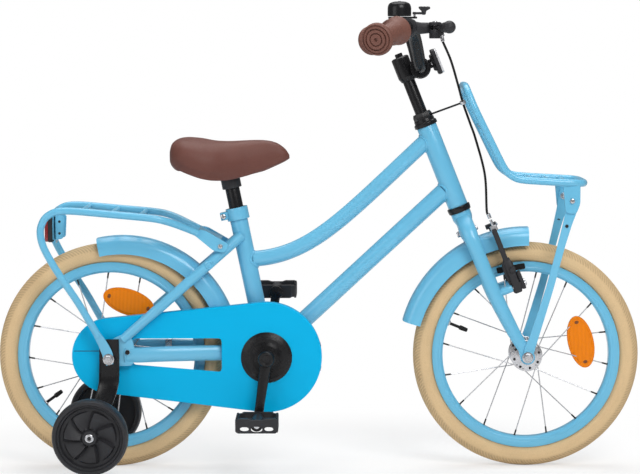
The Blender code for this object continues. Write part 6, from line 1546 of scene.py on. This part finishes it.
class BICYCLE_OT_saddle(Operator):
    """Seat post, the saddle's moulded base and its padded cover."""
    bl_idname = "bicycle.saddle"
    bl_label = "Saddle"

    def execute(self, context):
        piece("seat_post_tube", "seat", "seat_post",
              black_steel=[rod(BRACKET + SEAT_UP * 118, POST_TOP, 12.7, 48, 1)])

        stations = curve(SADDLE[3:-4], 4)
        rings = [pan_ring(x, b + 12, min(b + 34, t - 9) - 0.3, SADDLE_HALF * share - 9.3)
                 for x, b, t, share in stations]
        pan = shell(np.array(rings) + (POST_TOP[0], 0, POST_TOP[2]))
        socket = [shaft(POST_TOP, SEAT_UP, -22, 6, 17.2, 40, 1)]
        ribs = [block(POST_TOP + (x, 0, 4), (3, 60 * wide, 10), X, Z)
                for x, wide in ((-45, 1.0), (-28, 0.9), (22, 0.5))]
        piece("saddle_pan", "seat", "saddle_base", resin=[pan] + socket + ribs)

        rings, outer = saddle_rings()
        swell(rings, outer, bike().sizes.saddle_swell / MM)
        cover = piece("saddle_padding", "seat", "saddle_cover", sharp=60, saddle=[shell(rings)])
        smooth = cover.modifiers.new("smooth", "SUBSURF")
        smooth.levels = smooth.render_levels = 1
        return {"FINISHED"}


# Stabilisers

STRUT = [(-367, 62.1, 235, 17), (-367, 62.1, 204, 17.8), (-367.5, 62.1, 160, 17.8),
         (-371, 72, 142, 17.8), (-382, 96, 112, 17.8), (-391, 113, 97, 17), (-394, 115.5, 75, 15),
         (-394, 115.5, 59, 10)]


def strut(side):
    """A channel of sheet down the route, its flanges turned outward along both edges."""
    rows = eased(STRUT, 10, 5)
    x, out, z, half = rows.T[:, :, None]
    lip = 4.5 + 3.5 * ramp(z, 230, 220)
    back = 3.1 + 4.9 * ramp(z, 190, 180)
    sheet = 3
    across = np.hstack([-half, -half, half, half, half - sheet, half - sheet, sheet - half,
                        sheet - half])
    flat = np.zeros_like(half)
    deep = np.hstack([back, flat, flat, lip, lip, flat + sheet, flat + sheet, back])
    ring = np.stack([across, deep], -1)
    ring = np.array([eased(section, 0.8, 2, True) for section in ring])
    grid = np.stack([x + ring[..., 0], side * (out - sheet / 2 + ring[..., 1]),
                     np.broadcast_to(z, ring.shape[:2])], -1)
    return shell(grid, ends="strip")


def vaned_wheel(middle, axis):
    """A turned section whose dished face rises round each of seven vanes and drops back;
    the section is twisted outward, so that the vanes sweep back."""
    rows = np.array([(5.5, -17, 0), (13, -17, 0), (14, -2, 0), (54, -2, 0), (56, -16, 0), (58.5, -17, 0),
                     (62.5, -16.5, 0), (65, -12, 0), (65.9, -5, 0), (66, 0.0, 0),
                     (65.9, 5, 0), (65, 12, 0), (62.5, 16.5, 0), (60, 17, 0), (58, 16.5, 0), (57, 12, 0),
                     (55.5, 10.5, 0), (53.5, 10.5, 0), (52, 6, 0), (51, 3.5, 0), (46.2, 3, 0.05),
                     (44, 3, 0.85), (41.5, 3, 1.0), (30, 3, 1.0), (20, 3, 0.95), (16, 4, 0.7),
                     (14.5, 7, 0), (13.5, 12, 0), (12, 15, 0), (5.5, 15, 0)])
    first, second, axis = square_to(axis)
    turn = turns(196)
    tooth = (7 * turn / (2 * pi)) % 1.0
    rise = np.minimum(tooth / 0.86, (1 - tooth) / 0.14)
    height = rows[:, 1:2] + bike().sizes.vane_depth / MM * rows[:, 2:] * rise
    twist = turn - rows[:, :1] * 0.007
    grid = middle + rows[:, :1, None] * ways(twist, first, second) + height[..., None] * axis
    return shell(grid, loop=True)


class BICYCLE_OT_stabilisers(Operator):
    """Stabiliser struts and wheels, and the back-pedal brake's arm."""
    bl_idname = "bicycle.stabilisers"
    bl_label = "Stabilisers"

    def execute(self, context):
        for side, name in SIDES:
            out = Y * side
            stub = shaft(SIDE_AXLE, out, 114.5, 153, 5)
            nuts = hex_nut(SIDE_AXLE + out * 113.8, -out, 14, 6)
            tension = REAR_AXLE + (33, side * 60.5, 12)
            nuts.append(shaft(tension, out, 0, 3, 4.8, 6))
            spacer = [shaft(tension, out, 2.8, 6, 4, 24)]
            piece("stabiliser_strut_" + name, "frame", "side_wheel_bracket_" + name,
                  black_steel=[strut(side), stub] + spacer, steel=nuts)

            middle = SIDE_AXLE + out * SIDE_WHEEL_OUT
            cap = lathe(eased([(0, 14.8), (7.8, 14.8), (7.8, 16.2), (6.4, 17.2), (4.2, 17.2), (4, 16),
                               (0, 16)], 0.4, 2), middle, out, 40)
            # a near-black disc in the cap's socket as painted shade
            socket = lathe([(3.6, 15.8), (3.6, 16.3)], middle, out, 6)
            piece("stabiliser_wheel_" + name, "side_wheel_" + name, "side_wheel_" + name,
                  resin=[vaned_wheel(middle, out)], steel=[cap], dark_groove=[socket])

        place = REAR_AXLE + Y * 45.2
        line = np.array([(4, 0.0, -2), (50, 0.0, -13.5), (105, 0.0, -15)])
        rows = eased(np.hstack([place + line, [(1.2, 11.8), (1.2, 6.6), (1.2, 4)]]), 20, 6)
        parts = [plate(circle(40) * 14, place, X, Z, 2.4),
                 sweep(rows[:, :3], box_section(1, 1, 0.3, 2), Y, rows[:, 3:])]
        strap = REAR_AXLE + (98, 52, 0.0)
        ring = eased([(-11.2, -16), (9.2, -16), (9.2, 23), (-11.2, 23)], 6, 6, True)
        band = strap + ring @ np.array([[0, 1.0, 0], [0, 0, 1.0]])
        parts.append(sweep(band, box_section(6, 0.6, 0.3), X, loop=True))
        parts.append(screw_head(strap + (0, 8.5, -16), -Z, 3.2, 2.8))
        piece("coaster_arm_strap", "frame", "coaster_brake_arm", steel=parts)
        return {"FINISHED"}


# Stage, in metres

# the photo's focal length and width in pixels
FOCUS, PHOTO_WIDTH = 2261.8, 640
SENSOR = 36
# name, place, aim, size, power
LAMPS = (("key", (1.2, -2.6, 2.6), (0, 0, 0.35), 1.8, 76.0),
         ("fill", (-2.4, -2.0, 1.4), (0, 0, 0.4), 2.0, 24.0),
         ("top", (0.0, 0.6, 3.0), (0, 0, 0.3), 2.4, 60.0))


class BICYCLE_OT_stage(Operator):
    """A pale floor, three soft lights, the white surroundings and the camera."""
    bl_idname = "bicycle.stage"
    bl_label = "Stage"

    def execute(self, context):
        scene = context.scene
        mesh = bpy.data.meshes.new("floor")
        mesh.from_pydata([(-9, -9, 0), (9, -9, 0), (9, 9, 0), (-9, 9, 0)], [], [(0, 1, 2, 3)])
        floor = bpy.data.objects.new("floor", mesh)
        scene.collection.objects.link(floor)
        coat = Coat("floor", {"Base Color": (0.94, 0.94, 0.94, 1.0), "Roughness": 0.7,
                              "Specular IOR Level": 0.05})
        glow = coat.node("Emission", {}, {"Color": (1.0, 1.0, 1.0, 1.0), "Strength": 1.0})
        reach = coat.node("VectorMath", {"operation": "LENGTH"}, {0: coat.stretched((1.0, 1.6, 1.0))})
        far = Field(coat, reach.outputs["Value"]).between(0.55, 1.05)
        seen = Field(coat, coat.node("LightPath").outputs["Is Camera Ray"])
        share = (far * 0.45 + 0.55) * seen
        mix = coat.node("MixShader", {}, {0: share, 1: coat.shader.outputs[0], 2: glow.outputs[0]})
        output = next(n for n in coat.tree.nodes if n.type == "OUTPUT_MATERIAL")
        coat.tree.links.new(mix.outputs[0], output.inputs["Surface"])
        mesh.materials.append(coat.material)

        for name, place, aim, size, power in LAMPS:
            light = bpy.data.lights.new(name, "AREA")
            light.shape = "SQUARE"
            light.size = size
            light.energy = power
            lamp = bpy.data.objects.new(name, light)
            lamp.matrix_world = facing(place, aim)
            scene.collection.objects.link(lamp)

        world = bpy.data.worlds.new("surroundings")
        scene.world = world
        world.use_nodes = True
        tree = world.node_tree
        background = tree.nodes["Background"]
        background.inputs["Color"].default_value = (1.0, 1.0, 1.0, 1.0)
        path = tree.nodes.new("ShaderNodeLightPath")
        level = tree.nodes.new("ShaderNodeMapRange")
        level.inputs["To Min"].default_value = 0.24
        level.inputs["To Max"].default_value = 1.0
        tree.links.new(path.outputs["Is Camera Ray"], level.inputs["Value"])
        tree.links.new(level.outputs["Result"], background.inputs["Strength"])

        scene.view_settings.view_transform = "Standard"
        lens = bpy.data.cameras.new("camera")
        lens.lens = FOCUS * SENSOR / PHOTO_WIDTH
        lens.sensor_width = SENSOR
        camera = bpy.data.objects.new("camera", lens)
        yaw = Matrix.Rotation(0.003810, 3, "Z")
        pitch = Matrix.Rotation(-0.08207, 3, "X")
        roll = Matrix.Rotation(0.00251, 3, "Y")
        turn = yaw @ pitch @ roll @ Matrix.Rotation(pi / 2, 3, "X")
        camera.matrix_world = Matrix.Translation((0.01824, -4.0, 0.73817)) @ turn.to_4x4()
        scene.collection.objects.link(camera)
        scene.camera = camera
        return {"FINISHED"}


def facing(place, aim):
    """A placing whose -Z looks at the aim."""
    place = np.asarray(place, float)
    back = unit(place - np.asarray(aim, float))
    right = unit(np.cross(Z, back))
    rows = np.column_stack([right, np.cross(back, right), back, place])
    return Matrix(np.vstack([rows, (0, 0, 0, 1)]).tolist())


class VIEW3D_PT_bicycle(Panel):
    """Colours, sizes and the steps that build the bicycle."""
    bl_label = "Child's Bicycle"
    bl_space_type = "VIEW_3D"
    bl_region_type = "UI"
    bl_category = "Bicycle"

    def draw(self, context):
        for group in (context.scene.bicycle.colours, context.scene.bicycle.sizes):
            column = self.layout.column()
            for name in group.__annotations__:
                column.prop(group, name)
        column = self.layout.column()
        for step in STEPS:
            column.operator(step.bl_idname)


class Bicycle(PropertyGroup):
    """All the settings of one scene."""
    colours: PointerProperty(type=BicycleColours)
    sizes: PointerProperty(type=BicycleSizes)


STEPS = (BICYCLE_OT_wheels, BICYCLE_OT_axles, BICYCLE_OT_frame, BICYCLE_OT_fork, BICYCLE_OT_cockpit,
         BICYCLE_OT_controls, BICYCLE_OT_brake, BICYCLE_OT_guards, BICYCLE_OT_carriers, BICYCLE_OT_drive,
         BICYCLE_OT_cranks, BICYCLE_OT_saddle, BICYCLE_OT_stabilisers, BICYCLE_OT_stage)
CLASSES = (BicycleColours, BicycleSizes, Bicycle) + STEPS + (VIEW3D_PT_bicycle,)


def register():
    for item in CLASSES:
        bpy.utils.register_class(item)
    bpy.types.Scene.bicycle = PointerProperty(type=Bicycle)


def unregister():
    del bpy.types.Scene.bicycle
    for item in reversed(CLASSES):
        bpy.utils.unregister_class(item)


def main():
    """Register and take every step."""
    register()
    for step in STEPS:
        group, name = step.bl_idname.split(".")
        if getattr(getattr(bpy.ops, group), name)() != {"FINISHED"}:
            raise RuntimeError(f"{step.bl_label} didn't finish")


if __name__ == "__main__":
    main()
